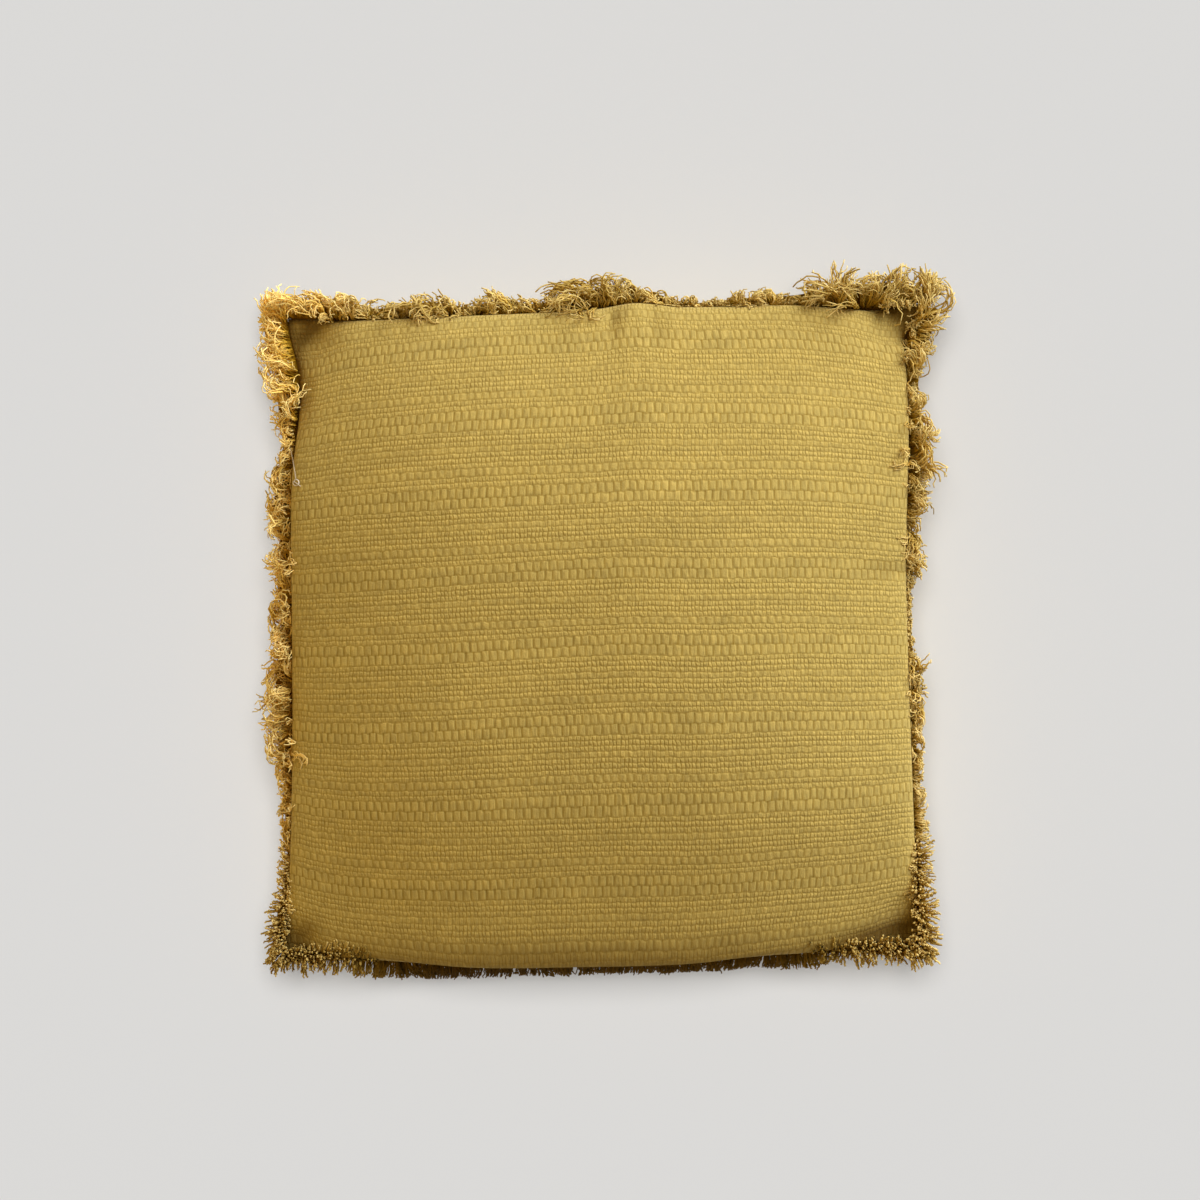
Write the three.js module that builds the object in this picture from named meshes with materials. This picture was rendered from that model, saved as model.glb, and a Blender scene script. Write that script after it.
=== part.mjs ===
// Square scatter cushion with a frayed, brush-like fringe on all four sides.
// Units are millimetres. The cushion lies on its back: the floor is z = 0, the face looks up along
// +Z, and the origin is on the floor under the middle. +Y is the cushion's upper side.
//
// The cover is two 450 mm squares of cloth sewn face to face along a line just inside their edges.
// Filling crowns both panels, so the sewn square draws in to about 435 mm from corner to corner.
// Outside the sewing the weave is drawn out into loose yarns, which stand in locks off a narrow
// woven strip.
import * as THREE from 'three';
import { mergeVertices } from 'three/addons/utils/BufferGeometryUtils.js';

// Heights of the filled cover, over and under the line where the panels meet
const frontCrown = 59;
const backCrown = 71;
const crownPower = 2.6;
const seamHalfThickness = 1.5;
const floorBlend = 2.5;

// Lumps of the filling: their height, and the lengths of the broad and the fine waves they follow
const lumpHeight = 1.1;
const broadLump = { x: 47, y: 53 };
const fineLump = { x: 26, y: 31, share: 0.6 };

// How close to the seam, as a share of half the width, a panel's side stands out furthest, and how
// sharply that swelling ends at the corners
const bellyPlace = 0.05;
const bellyCornerPower = 6;

// Bumps and folds reach their full size where the cover is this full, and take away at most this
// share of the crown
const bumpFullness = 0.6;
const deepestFoldShare = 0.7;

// Mesh steps: cells across a panel, how strongly they crowd towards the seam, and the share of a
// side over which the seam's direction is taken
const panelCells = 36;
const edgeCrowding = 0.6;
const tangentStep = 0.004;

// Fringe: the strip's gap to the cover, its width and thickness, and its locks
const stripGap = 0.4;
const stripWidth = 3;
const stripHalfThickness = 1.2;
const stripEndMargin = 0.004;
const locksPerSide = 72;
const lockRootShare = [0.2, 0.8];
const lockMiddleHalf = { width: 2.4, height: 2.1 };
const lockEndHalf = { width: 2.2, height: 1.9 };
const lockSpread = [27, -17, 6];
const lockLean = 7;
const lockLeanWaves = 10;
const lockFullLength = 15;
const lockMaxLength = 31;
const lockMaxSlope = 62;
const lockSlopeUneven = 4;
const lockReachUneven = { least: 0.8, most: 1.04 };
const lockBendUneven = 1.2;
const seedStep = 100;
const cornerFan = 44;
const cornerFanStart = 0.84;

const coverColor = 0xb3903f;
const fringeColor = 0xa8843a;

// Corners of the sewn square, and how far the filling leaves each one flat and empty
const corners = {
  topLeft: { x: -215, y: 213, z: 46, emptyReach: 36, emptiness: 0.85 },
  topRight: { x: 216, y: 223, z: 51, emptyReach: 26, emptiness: 0.6 },
  bottomRight: { x: 217, y: -215, z: 48, emptyReach: 24, emptiness: 0.55 },
  bottomLeft: { x: -219, y: -221, z: 45, emptyReach: 16, emptiness: 0.3 },
};

// Seam lines, one row for each place along a side, from -1 to 1 between its corners.
// inset: how far the line is drawn in, lift: how far it rises over the straight line between the
// corners, belly: how far the front panel swells out past it.
const leftSeam = [
  { along: -1.0, inset: 0, lift: 0, belly: 5 },
  { along: -0.75, inset: 7, lift: 5, belly: 8 },
  { along: -0.35, inset: 10, lift: 9, belly: 9 },
  { along: 0.1, inset: 8, lift: 10, belly: 8 },
  { along: 0.5, inset: 6.5, lift: 9, belly: 7 },
  { along: 0.82, inset: 8, lift: 4, belly: 3 },
  { along: 1.0, inset: 0, lift: 0, belly: 0 },
];
const rightSeam = [
  { along: -1.0, inset: 0, lift: 0, belly: 3 },
  { along: -0.85, inset: 3, lift: 3, belly: 6 },
  { along: -0.4, inset: 8.5, lift: 8, belly: 8 },
  { along: 0.2, inset: 12.5, lift: 10, belly: 8 },
  { along: 0.6, inset: 10, lift: 8, belly: 8 },
  { along: 0.88, inset: 9, lift: 3, belly: 6 },
  { along: 1.0, inset: 0, lift: 0, belly: 0 },
];
const topSeam = [
  { along: -1.0, inset: 0, lift: 0, belly: 0 },
  { along: -0.8, inset: 2.5, lift: 4, belly: 4 },
  { along: -0.4, inset: 4, lift: 9, belly: 8 },
  { along: -0.02, inset: 1.6, lift: 10, belly: 8 },
  { along: 0.1, inset: -0.8, lift: 11, belly: 10 },
  { along: 0.24, inset: 1.4, lift: 10, belly: 8 },
  { along: 0.6, inset: 2, lift: 8, belly: 8 },
  { along: 0.88, inset: 3.5, lift: 3, belly: 4 },
  { along: 1.0, inset: 0, lift: 0, belly: 0 },
];
const bottomSeam = [
  { along: -1.0, inset: 0, lift: 0, belly: 4 },
  { along: -0.85, inset: 2, lift: 3, belly: 15 },
  { along: -0.6, inset: 4, lift: 7, belly: 25 },
  { along: 0.0, inset: 5, lift: 10, belly: 28 },
  { along: 0.35, inset: 5, lift: 9, belly: 26 },
  { along: 0.7, inset: 2.5, lift: 6, belly: 15 },
  { along: 0.86, inset: 1, lift: 3, belly: 7 },
  { along: 1.0, inset: 0, lift: 0, belly: 2 },
];

// Fringe, one row for each tuft or gap along a side, from -1 to 1 between the corners.
// reach: how far the yarn ends stand out from the seam, rise: the slope of the locks in degrees.
const leftTufts = [
  { along: -1.0, reach: 20, rise: 12 },
  { along: -0.88, reach: 16, rise: 25 },
  { along: -0.72, reach: 10, rise: 42 },
  { along: -0.5, reach: 12, rise: 40 },
  { along: -0.32, reach: 17, rise: 34 },
  { along: -0.12, reach: 21, rise: 28 },
  { along: 0.03, reach: 14, rise: 38 },
  { along: 0.15, reach: 18, rise: 32 },
  { along: 0.28, reach: 14, rise: 36 },
  { along: 0.38, reach: 21, rise: 26 },
  { along: 0.58, reach: 13, rise: 36 },
  { along: 0.7, reach: 20, rise: 30 },
  { along: 0.88, reach: 21, rise: 24 },
  { along: 1.0, reach: 27, rise: 8 },
];
const rightTufts = [
  { along: -1.0, reach: 26, rise: 12 },
  { along: -0.92, reach: 19, rise: 22 },
  { along: -0.7, reach: 14, rise: 36 },
  { along: -0.42, reach: 9, rise: 48 },
  { along: -0.17, reach: 14, rise: 42 },
  { along: -0.05, reach: 8, rise: 50 },
  { along: 0.12, reach: 9, rise: 50 },
  { along: 0.25, reach: 17, rise: 34 },
  { along: 0.31, reach: 8, rise: 46 },
  { along: 0.37, reach: 20, rise: 34 },
  { along: 0.46, reach: 16, rise: 38 },
  { along: 0.52, reach: 22, rise: 30 },
  { along: 0.68, reach: 14, rise: 40 },
  { along: 0.88, reach: 21, rise: 32 },
  { along: 1.0, reach: 28, rise: 14 },
];
const topTufts = [
  { along: -1.0, reach: 25, rise: 6 },
  { along: -0.88, reach: 18, rise: 20 },
  { along: -0.68, reach: 12, rise: 40 },
  { along: -0.55, reach: 18, rise: 34 },
  { along: -0.44, reach: 13, rise: 42 },
  { along: -0.31, reach: 18, rise: 32 },
  { along: -0.22, reach: 13, rise: 40 },
  { along: 0.0, reach: 23, rise: 26 },
  { along: 0.15, reach: 16, rise: 34 },
  { along: 0.27, reach: 8, rise: 46 },
  { along: 0.48, reach: 12, rise: 38 },
  { along: 0.62, reach: 14, rise: 34 },
  { along: 0.74, reach: 26, rise: 24 },
  { along: 0.9, reach: 30, rise: 18 },
  { along: 1.0, reach: 27, rise: 12 },
];
const bottomTufts = [
  { along: -1.0, reach: 20, rise: 10 },
  { along: -0.85, reach: 20, rise: -6 },
  { along: -0.6, reach: 24, rise: -22 },
  { along: 0.0, reach: 25, rise: -26 },
  { along: 0.35, reach: 23, rise: -24 },
  { along: 0.6, reach: 18, rise: -16 },
  { along: 0.82, reach: 16, rise: 0 },
  { along: 1.0, reach: 20, rise: 10 },
];

// Each side from its start corner to its end corner, left to right or bottom to top.
// outward: the way the side looks in the plan.
const sides = {
  left: { from: 'bottomLeft', to: 'topLeft', outward: [-1, 0], seed: 11, seam: leftSeam, tufts: leftTufts },
  right: {
    from: 'bottomRight',
    to: 'topRight',
    outward: [1, 0],
    seed: 23,
    seam: rightSeam,
    tufts: rightTufts,
  },
  top: { from: 'topLeft', to: 'topRight', outward: [0, 1], seed: 37, seam: topSeam, tufts: topTufts },
  bottom: {
    from: 'bottomLeft',
    to: 'bottomRight',
    outward: [0, -1],
    seed: 53,
    seam: bottomSeam,
    tufts: bottomTufts,
  },
};

// Folds pressed into the front panel: the place of the middle, the way it runs, and its size
const folds = [
  { x: 190, y: -206, degrees: 8, length: 30, width: 6, depth: 13 },
  { x: 198, y: 200, degrees: 52, length: 17, width: 6, depth: 9 },
  { x: -186, y: 190, degrees: -42, length: 16, width: 8, depth: 7 },
  { x: 8, y: 207, degrees: 78, length: 15, width: 5, depth: 4 },
  { x: 36, y: 206, degrees: 102, length: 13, width: 5, depth: 3 },
  { x: -188, y: -196, degrees: 40, length: 22, width: 7, depth: 5 },
  { x: 196, y: 40, degrees: 4, length: 16, width: 7, depth: 3 },
];

// Soft steps of a smooth curve through the rows of a table
function tableCurve(rows, column) {
  const places = rows.map((row) => row.along);
  const values = rows.map((row) => row[column]);
  const curve = new THREE.CubicInterpolant(places, values, 1);
  return (along) => curve.evaluate(THREE.MathUtils.clamp(along, -1, 1))[0];
}

for (const side of Object.values(sides)) {
  side.insetAt = tableCurve(side.seam, 'inset');
  side.liftAt = tableCurve(side.seam, 'lift');
  side.bellyAt = tableCurve(side.seam, 'belly');
  side.reachAt = tableCurve(side.tufts, 'reach');
  side.riseAt = tableCurve(side.tufts, 'rise');
}

// Repeatable unevenness between -1 and 1
function uneven(number) {
  const wave = Math.sin(number * 12.9898) * 43758.5453;
  return 2 * (wave - Math.floor(wave)) - 1;
}

// A point on a side's seam line, with along from -1 to 1
function seamPoint(side, along) {
  const from = corners[side.from];
  const to = corners[side.to];
  const share = (along + 1) / 2;
  const inset = side.insetAt(along);
  return new THREE.Vector3(
    THREE.MathUtils.lerp(from.x, to.x, share) - side.outward[0] * inset,
    THREE.MathUtils.lerp(from.y, to.y, share) - side.outward[1] * inset,
    THREE.MathUtils.lerp(from.z, to.z, share) + side.liftAt(along),
  );
}

// The surface stretched between the four seam lines, with across and up from -1 to 1
function seamSurface(across, up) {
  const right = (across + 1) / 2;
  const top = (up + 1) / 2;
  const point = new THREE.Vector3();
  point.addScaledVector(seamPoint(sides.left, up), 1 - right);
  point.addScaledVector(seamPoint(sides.right, up), right);
  point.addScaledVector(seamPoint(sides.bottom, across), 1 - top);
  point.addScaledVector(seamPoint(sides.top, across), top);
  const shares = {
    bottomLeft: (1 - right) * (1 - top),
    bottomRight: right * (1 - top),
    topLeft: (1 - right) * top,
    topRight: right * top,
  };
  for (const [name, share] of Object.entries(shares)) {
    const corner = corners[name];
    point.addScaledVector(new THREE.Vector3(corner.x, corner.y, corner.z), -share);
  }
  return point;
}

// How full the cover is: 0 along the seam, 1 in the middle, and low in the empty corners
function fullness(across, up) {
  const profile = (place) => 1 - Math.abs(place) ** crownPower;
  let full = Math.sqrt(Math.max(0, profile(across) * profile(up)));
  for (const corner of Object.values(corners)) {
    const awayX = (1 - across * Math.sign(corner.x)) * Math.abs(corner.x);
    const awayY = (1 - up * Math.sign(corner.y)) * Math.abs(corner.y);
    const away = Math.hypot(awayX, awayY) / corner.emptyReach;
    full *= 1 - corner.emptiness * Math.exp(-away * away);
  }
  return full;
}

// How far the front panel's side swells out of the seam, strongest close to the seam
function bellyOffset(across, up) {
  const swell = (edgeDistance) => (edgeDistance / bellyPlace) * Math.exp(1 - edgeDistance / bellyPlace);
  const strength = (place) => Math.sqrt(Math.max(0, 1 - Math.abs(place) ** bellyCornerPower));
  return {
    x: sides.right.bellyAt(up) * swell(1 - across) * strength(up)
      - sides.left.bellyAt(up) * swell(1 + across) * strength(up),
    y: sides.top.bellyAt(across) * swell(1 - up) * strength(across)
      - sides.bottom.bellyAt(across) * swell(1 + up) * strength(across),
  };
}

// Depth of the pressed folds at a place in the plan
function foldDepth(x, y) {
  let depth = 0;
  for (const fold of folds) {
    const turn = THREE.MathUtils.degToRad(fold.degrees);
    const alongFold = (x - fold.x) * Math.cos(turn) + (y - fold.y) * Math.sin(turn);
    const acrossFold = (y - fold.y) * Math.cos(turn) - (x - fold.x) * Math.sin(turn);
    depth += fold.depth * Math.exp(-((alongFold / fold.length) ** 2) - (acrossFold / fold.width) ** 2);
  }
  return depth;
}

// Slight lumps of the filling
function lumps(x, y) {
  const broad = Math.sin(x / broadLump.x) * Math.cos(y / broadLump.y);
  const fine = Math.sin(x / fineLump.x - y / fineLump.y) * Math.cos(y / fineLump.x);
  return lumpHeight * (broad + fineLump.share * fine);
}

// Presses everything under the floor flat on it, with a short rounding at the rim of the flat spot
function restOnFloor(height) {
  if (height <= -floorBlend) {
    return 0;
  }
  return height >= floorBlend ? height : (height + floorBlend) ** 2 / (4 * floorBlend);
}

function frontPoint(across, up) {
  const point = seamSurface(across, up);
  const full = fullness(across, up);
  const belly = bellyOffset(across, up);
  const rise = frontCrown * full;
  const bump = (lumps(point.x, point.y) - foldDepth(point.x, point.y)) * Math.min(1, full / bumpFullness);
  point.x += belly.x;
  point.y += belly.y;
  point.z += seamHalfThickness + rise + Math.max(bump, -deepestFoldShare * rise);
  return point;
}

function backPoint(across, up) {
  const point = seamSurface(across, up);
  const full = fullness(across, up);
  const bump = lumps(point.y, point.x) * full;
  point.z = restOnFloor(point.z - seamHalfThickness - backCrown * full + bump);
  return point;
}

// Crowds even steps between -1 and 1 towards the ends
function crowd(step) {
  return THREE.MathUtils.lerp(step, Math.sin((step * Math.PI) / 2), edgeCrowding);
}

// A box of small cells, puffed out: its top and bottom are the panels, its walls the seam's edge
function cushionGeometry() {
  const box = new THREE.BoxGeometry(2, 2, 2, panelCells, panelCells, 1);
  box.deleteAttribute('normal');
  box.deleteAttribute('uv');
  const solid = mergeVertices(box);
  const positions = solid.attributes.position;
  for (let i = 0; i < positions.count; i += 1) {
    const across = crowd(positions.getX(i));
    const up = crowd(positions.getY(i));
    const point = positions.getZ(i) > 0 ? frontPoint(across, up) : backPoint(across, up);
    positions.setXYZ(i, point.x, point.y, point.z);
  }
  solid.computeVertexNormals();
  return solid;
}

// The seam line of one side as straight steps between the cover's own mesh points
function seamPath(side) {
  const path = new THREE.CurvePath();
  let last = seamPoint(side, -1);
  for (let i = 1; i <= panelCells; i += 1) {
    const next = seamPoint(side, crowd((2 * i) / panelCells - 1));
    path.add(new THREE.LineCurve3(last, next));
    last = next;
  }
  return path;
}

// The seam's place and its level outward direction, at a share from 0 to 1 along the side
function seamFrame(path, outward, share) {
  const before = path.getPoint(Math.max(0, share - tangentStep));
  const after = path.getPoint(Math.min(1, share + tangentStep));
  const tangent = after.sub(before).setZ(0).normalize();
  const normal = new THREE.Vector3(tangent.y, -tangent.x, 0);
  if (normal.x * outward[0] + normal.y * outward[1] < 0) {
    normal.negate();
  }
  return { place: path.getPoint(share), tangent, normal };
}

// A growing list of points and triangles
class MeshList {
  constructor() {
    this.points = [];
    this.triangles = [];
  }

  point(vector) {
    this.points.push(vector.x, vector.y, vector.z);
    return this.points.length / 3 - 1;
  }

  quad(a, b, c, d) {
    this.triangles.push(a, b, c, a, c, d);
  }

  geometry(flip) {
    const geometry = new THREE.BufferGeometry();
    const order = flip ? this.triangles.toReversed() : this.triangles;
    geometry.setAttribute('position', new THREE.Float32BufferAttribute(this.points, 3));
    geometry.setIndex(order);
    geometry.computeVertexNormals();
    return geometry;
  }
}

// Four corners of a lock's section: low start, low end, high end, high start
function sectionCorners(centre, widthWay, heightWay, half, bulk) {
  const corner = (wide, high) => centre.clone()
    .addScaledVector(widthWay, wide * half.width * bulk)
    .addScaledVector(heightWay, high * half.height * bulk);
  return [corner(-1, -1), corner(1, -1), corner(1, 1), corner(-1, 1)];
}

// How one lock stands: its way out, its length and its bend
function lockStance(side, number) {
  const along = (2 * number + 1) / locksPerSide - 1;
  const seed = side.seed * seedStep + number;
  const rise = side.riseAt(along) + lockSpread[number % lockSpread.length] + lockSlopeUneven * uneven(seed);
  const slope = THREE.MathUtils.degToRad(Math.min(lockMaxSlope, rise));
  const { least, most } = lockReachUneven;
  const reachShare = THREE.MathUtils.mapLinear(uneven(seed + 1 / 3), -1, 1, least, most);
  const reach = side.reachAt(along) * reachShare - stripWidth;
  const length = Math.min(lockMaxLength, reach / Math.cos(slope));
  const cornerShare = THREE.MathUtils.smoothstep(Math.abs(along), cornerFanStart, 1);
  const fan = Math.sign(along) * cornerFan * cornerShare;
  const lean = lockLean * Math.sin(along * lockLeanWaves + side.seed) * (1 - cornerShare);
  return {
    slope,
    length,
    turn: THREE.MathUtils.degToRad(fan + lean),
    bend: lockBendUneven * uneven(seed + 2 / 3),
    bulk: Math.min(1, length / lockFullLength),
  };
}

// Grows one lock from four root points, given in the order of sectionCorners
function addLock(mesh, root, rootCentre, frame, stance) {
  const out = frame.normal.clone().multiplyScalar(Math.cos(stance.turn))
    .addScaledVector(frame.tangent, Math.sin(stance.turn));
  const widthWay = frame.tangent.clone().multiplyScalar(Math.cos(stance.turn))
    .addScaledVector(frame.normal, -Math.sin(stance.turn));
  const straight = out.clone().multiplyScalar(Math.cos(stance.slope));
  straight.z = Math.sin(stance.slope);
  const heightWay = out.clone().multiplyScalar(-Math.sin(stance.slope));
  heightWay.z = Math.cos(stance.slope);
  const middle = rootCentre.clone()
    .addScaledVector(straight, stance.length * 0.5)
    .addScaledVector(heightWay, stance.bend);
  const end = rootCentre.clone().addScaledVector(straight, stance.length);
  const ring = (centre, half) => sectionCorners(centre, widthWay, heightWay, half, stance.bulk)
    .map((corner) => mesh.point(corner));
  const rings = [root, ring(middle, lockMiddleHalf), ring(end, lockEndHalf)];
  for (let step = 0; step < 2; step += 1) {
    for (let corner = 0; corner < 4; corner += 1) {
      const next = (corner + 1) % 4;
      mesh.quad(rings[step][corner], rings[step][next], rings[step + 1][next], rings[step + 1][corner]);
    }
  }
  mesh.quad(...rings[2]);
}

// Points of the strip at one station: its inner line or its outer line, low and high
function stripPoints(mesh, frame, offset) {
  const centre = frame.place.clone().addScaledVector(frame.normal, offset);
  const raised = (height) => mesh.point(centre.clone().setZ(centre.z + height));
  return { low: raised(-stripHalfThickness), high: raised(stripHalfThickness), centre };
}

// One side's fringe: a narrow strip with its locks standing out of it, in one body.
// Every lock takes one stretch of the strip's outer face and leaves the next stretch free.
function fringeGeometry(side) {
  const mesh = new MeshList();
  const path = seamPath(side);
  const shareAt = (stretch) => (
    THREE.MathUtils.lerp(stripEndMargin, 1 - stripEndMargin, stretch / locksPerSide)
  );
  const innerOffset = stripGap;
  const outerOffset = stripGap + stripWidth;
  const inner = [];
  const outer = [];
  for (let i = 0; i <= locksPerSide; i += 1) {
    inner.push(stripPoints(mesh, seamFrame(path, side.outward, shareAt(i)), innerOffset));
  }
  for (let i = 0; i < locksPerSide; i += 1) {
    for (const place of lockRootShare) {
      outer.push(stripPoints(mesh, seamFrame(path, side.outward, shareAt(i + place)), outerOffset));
    }
  }
  outer.unshift(stripPoints(mesh, seamFrame(path, side.outward, shareAt(0)), outerOffset));
  outer.push(stripPoints(mesh, seamFrame(path, side.outward, shareAt(locksPerSide)), outerOffset));
  const last = outer.length - 1;
  mesh.quad(inner[0].low, outer[0].low, outer[0].high, inner[0].high);
  mesh.quad(outer[last].low, inner[locksPerSide].low, inner[locksPerSide].high, outer[last].high);
  for (let i = 0; i < locksPerSide; i += 1) {
    const start = outer[2 * i + 1];
    const end = outer[2 * i + 2];
    mesh.quad(inner[i + 1].low, inner[i].low, inner[i].high, inner[i + 1].high);
    mesh.quad(inner[i].high, start.high, end.high, inner[i + 1].high);
    mesh.quad(start.low, inner[i].low, inner[i + 1].low, end.low);
    const middle = start.centre.clone().lerp(end.centre, 0.5);
    const frame = seamFrame(path, side.outward, shareAt(i + 0.5));
    addLock(mesh, [start.low, end.low, end.high, start.high], middle, frame, lockStance(side, i));
  }
  for (let i = 0; i <= locksPerSide; i += 1) {
    const start = outer[2 * i];
    const end = outer[2 * i + 1];
    mesh.quad(start.low, end.low, end.high, start.high);
    mesh.triangles.push(inner[i].high, start.high, end.high);
    mesh.triangles.push(start.low, inner[i].low, end.low);
  }
  const runsBackwards = side.outward[1] > 0 || side.outward[0] < 0;
  return mesh.geometry(runsBackwards);
}

function namedMesh(name, geometry, color) {
  const material = new THREE.MeshStandardMaterial({ color, roughness: 0.9, metalness: 0 });
  const mesh = new THREE.Mesh(geometry, material);
  mesh.name = name;
  return mesh;
}

const group = new THREE.Group();
group.add(namedMesh('cushion', cushionGeometry(), coverColor));
for (const [name, side] of Object.entries(sides)) {
  group.add(namedMesh(`fringe_${name}`, fringeGeometry(side), fringeColor));
}

export default group;
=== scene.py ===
import math
from types import SimpleNamespace

import bmesh
import bpy
import numpy as np
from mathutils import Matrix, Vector
from mathutils.bvhtree import BVHTree


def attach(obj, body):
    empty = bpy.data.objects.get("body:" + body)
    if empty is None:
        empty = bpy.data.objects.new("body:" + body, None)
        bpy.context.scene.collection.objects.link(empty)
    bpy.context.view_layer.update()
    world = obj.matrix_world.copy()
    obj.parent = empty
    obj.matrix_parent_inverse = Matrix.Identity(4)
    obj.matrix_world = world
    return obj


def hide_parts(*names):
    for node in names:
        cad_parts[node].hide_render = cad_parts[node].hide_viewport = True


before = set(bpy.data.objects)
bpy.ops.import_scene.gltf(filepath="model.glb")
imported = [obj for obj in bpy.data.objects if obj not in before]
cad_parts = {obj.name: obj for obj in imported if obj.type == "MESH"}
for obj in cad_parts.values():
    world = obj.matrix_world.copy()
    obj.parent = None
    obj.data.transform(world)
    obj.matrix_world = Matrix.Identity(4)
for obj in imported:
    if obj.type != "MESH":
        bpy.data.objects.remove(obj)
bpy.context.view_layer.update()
bpy.ops.object.select_all(action="DESELECT")
print("frame loaded")

mm = 0.001

# Camera, floor and light
view = {
    "across": -1.4, "up": 20.5, "seamHeight": 55, "distance": 2400,  # mm
    "frameWidth": 819.6,  # mm of the seam plane that the picture shows
    "sensor": 36,
}
studio = {
    "floorSize": 80, "floorCuts": 3, "farthest": 200, "lightDistance": 3,  # m
    "floorColor": (0.70, 0.693, 0.68), "floorRoughness": 0.9, "floorSpecular": 0.1,
    # Lights: where from, spread in degrees, strength, color, what it lights, whether the cushion shades it
    "lights": (
        ("keyLight", (0.68, 0.68, 0.36), 60, 5.4, (0.93, 1.0, 1.16), "cushionLit", True),
        ("fillLight", (-1.0, -0.35, 0.8), 100, 1.4, (1.0, 0.76, 0.34), "cushionLit", True),
        ("paperLight", (0.0, 0.18, 1.0), 32, 2.32, (1.0, 1.0, 1.0), "paperLit", True),
        ("paperFill", (0.0, 0.0, 1.0), 32, 0.72, (1.0, 1.0, 1.0), "paperLit", False),
    ),
    "worldColor": (1.0, 0.98, 0.95), "worldStrength": 0.05,
}


def addCamera():
    bpy.ops.object.camera_add(
        location=(view["across"] * mm, view["up"] * mm, (view["seamHeight"] + view["distance"]) * mm),
        rotation=(0, 0, 0))
    camera = bpy.context.object
    camera.name = "viewCamera"
    camera.data.sensor_width = view["sensor"]
    camera.data.lens = view["sensor"] * view["distance"] / view["frameWidth"]
    camera.data.clip_end = studio["farthest"]
    bpy.context.scene.camera = camera


# The paper has lights of its own, one of which the cushion doesn't shade, so that it stays pale and even
def addSun(name, fromWay, spread, strength, color, group, shaded):
    way = Vector(fromWay).normalized()
    bpy.ops.object.light_add(
        type="SUN", location=way * studio["lightDistance"], rotation=way.to_track_quat("Z", "Y").to_euler())
    sun = bpy.context.object
    sun.name = name
    sun.data.angle = math.radians(spread)
    sun.data.energy = strength
    sun.data.color = color
    sun.light_linking.receiver_collection = bpy.data.collections.get(group) or bpy.data.collections.new(group)
    if not shaded:
        sun.light_linking.blocker_collection = bpy.data.collections[group]


def addStudio():
    bpy.ops.mesh.primitive_plane_add(size=studio["floorSize"], location=(0, 0, 0))
    floor = bpy.context.object
    floor.name = "floor"
    bpy.ops.object.mode_set(mode="EDIT")
    bpy.ops.mesh.subdivide(number_cuts=studio["floorCuts"])
    bpy.ops.object.mode_set(mode="OBJECT")
    paper = bpy.data.materials.new("palePaper")
    paper.use_nodes = True
    shader = paper.node_tree.nodes["Principled BSDF"]
    shader.inputs["Base Color"].default_value = (*studio["floorColor"], 1)
    shader.inputs["Roughness"].default_value = studio["floorRoughness"]
    shader.inputs["Specular IOR Level"].default_value = studio["floorSpecular"]
    floor.data.materials.append(paper)
    for light in studio["lights"]:
        addSun(*light)
    bpy.data.collections["paperLit"].objects.link(floor)
    world = bpy.data.worlds.new("softRoom")
    bpy.context.scene.world = world
    world.use_nodes = True
    background = world.node_tree.nodes["Background"]
    background.inputs["Color"].default_value = (*studio["worldColor"], 1)
    background.inputs["Strength"].default_value = studio["worldStrength"]
    bpy.context.scene.view_settings.view_transform = "Standard"
    bpy.context.scene.view_settings.look = "None"


addCamera()
addStudio()
print("camera, floor and light made")

# The cushion's form in mm, as in the part's source, with a lower front crown and a dome over its middle
cushionForm = {
    "frontCrown": 54, "backCrown": 71, "crownPower": 2.6, "dome": 9, "domeSag": 0.3,
    "seamHalfThickness": 1.5, "floorBlend": 2.5,
    "lumpHeight": 1.1, "broadLump": (47, 53), "fineLump": (26, 31), "fineShare": 0.6,
    "bellyPlace": 0.05, "bellyCornerPower": 6, "bumpFullness": 0.6, "deepestFoldShare": 0.7,
    "broadSeam": 0.4, "broadSteps": 200, "broadReach": 120, "detailReach": 0.16, "emptyPower": 3.4,
}
corners = {
    "topLeft": {"place": (-215, 213, 46), "emptyReach": 31, "emptiness": 0.88},
    "topRight": {"place": (216, 223, 51), "emptyReach": 32, "emptiness": 0.85},
    "bottomRight": {"place": (217, -215, 48), "emptyReach": 30, "emptiness": 0.8},
    "bottomLeft": {"place": (-219, -221, 45), "emptyReach": 22, "emptiness": 0.6},
}
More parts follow.
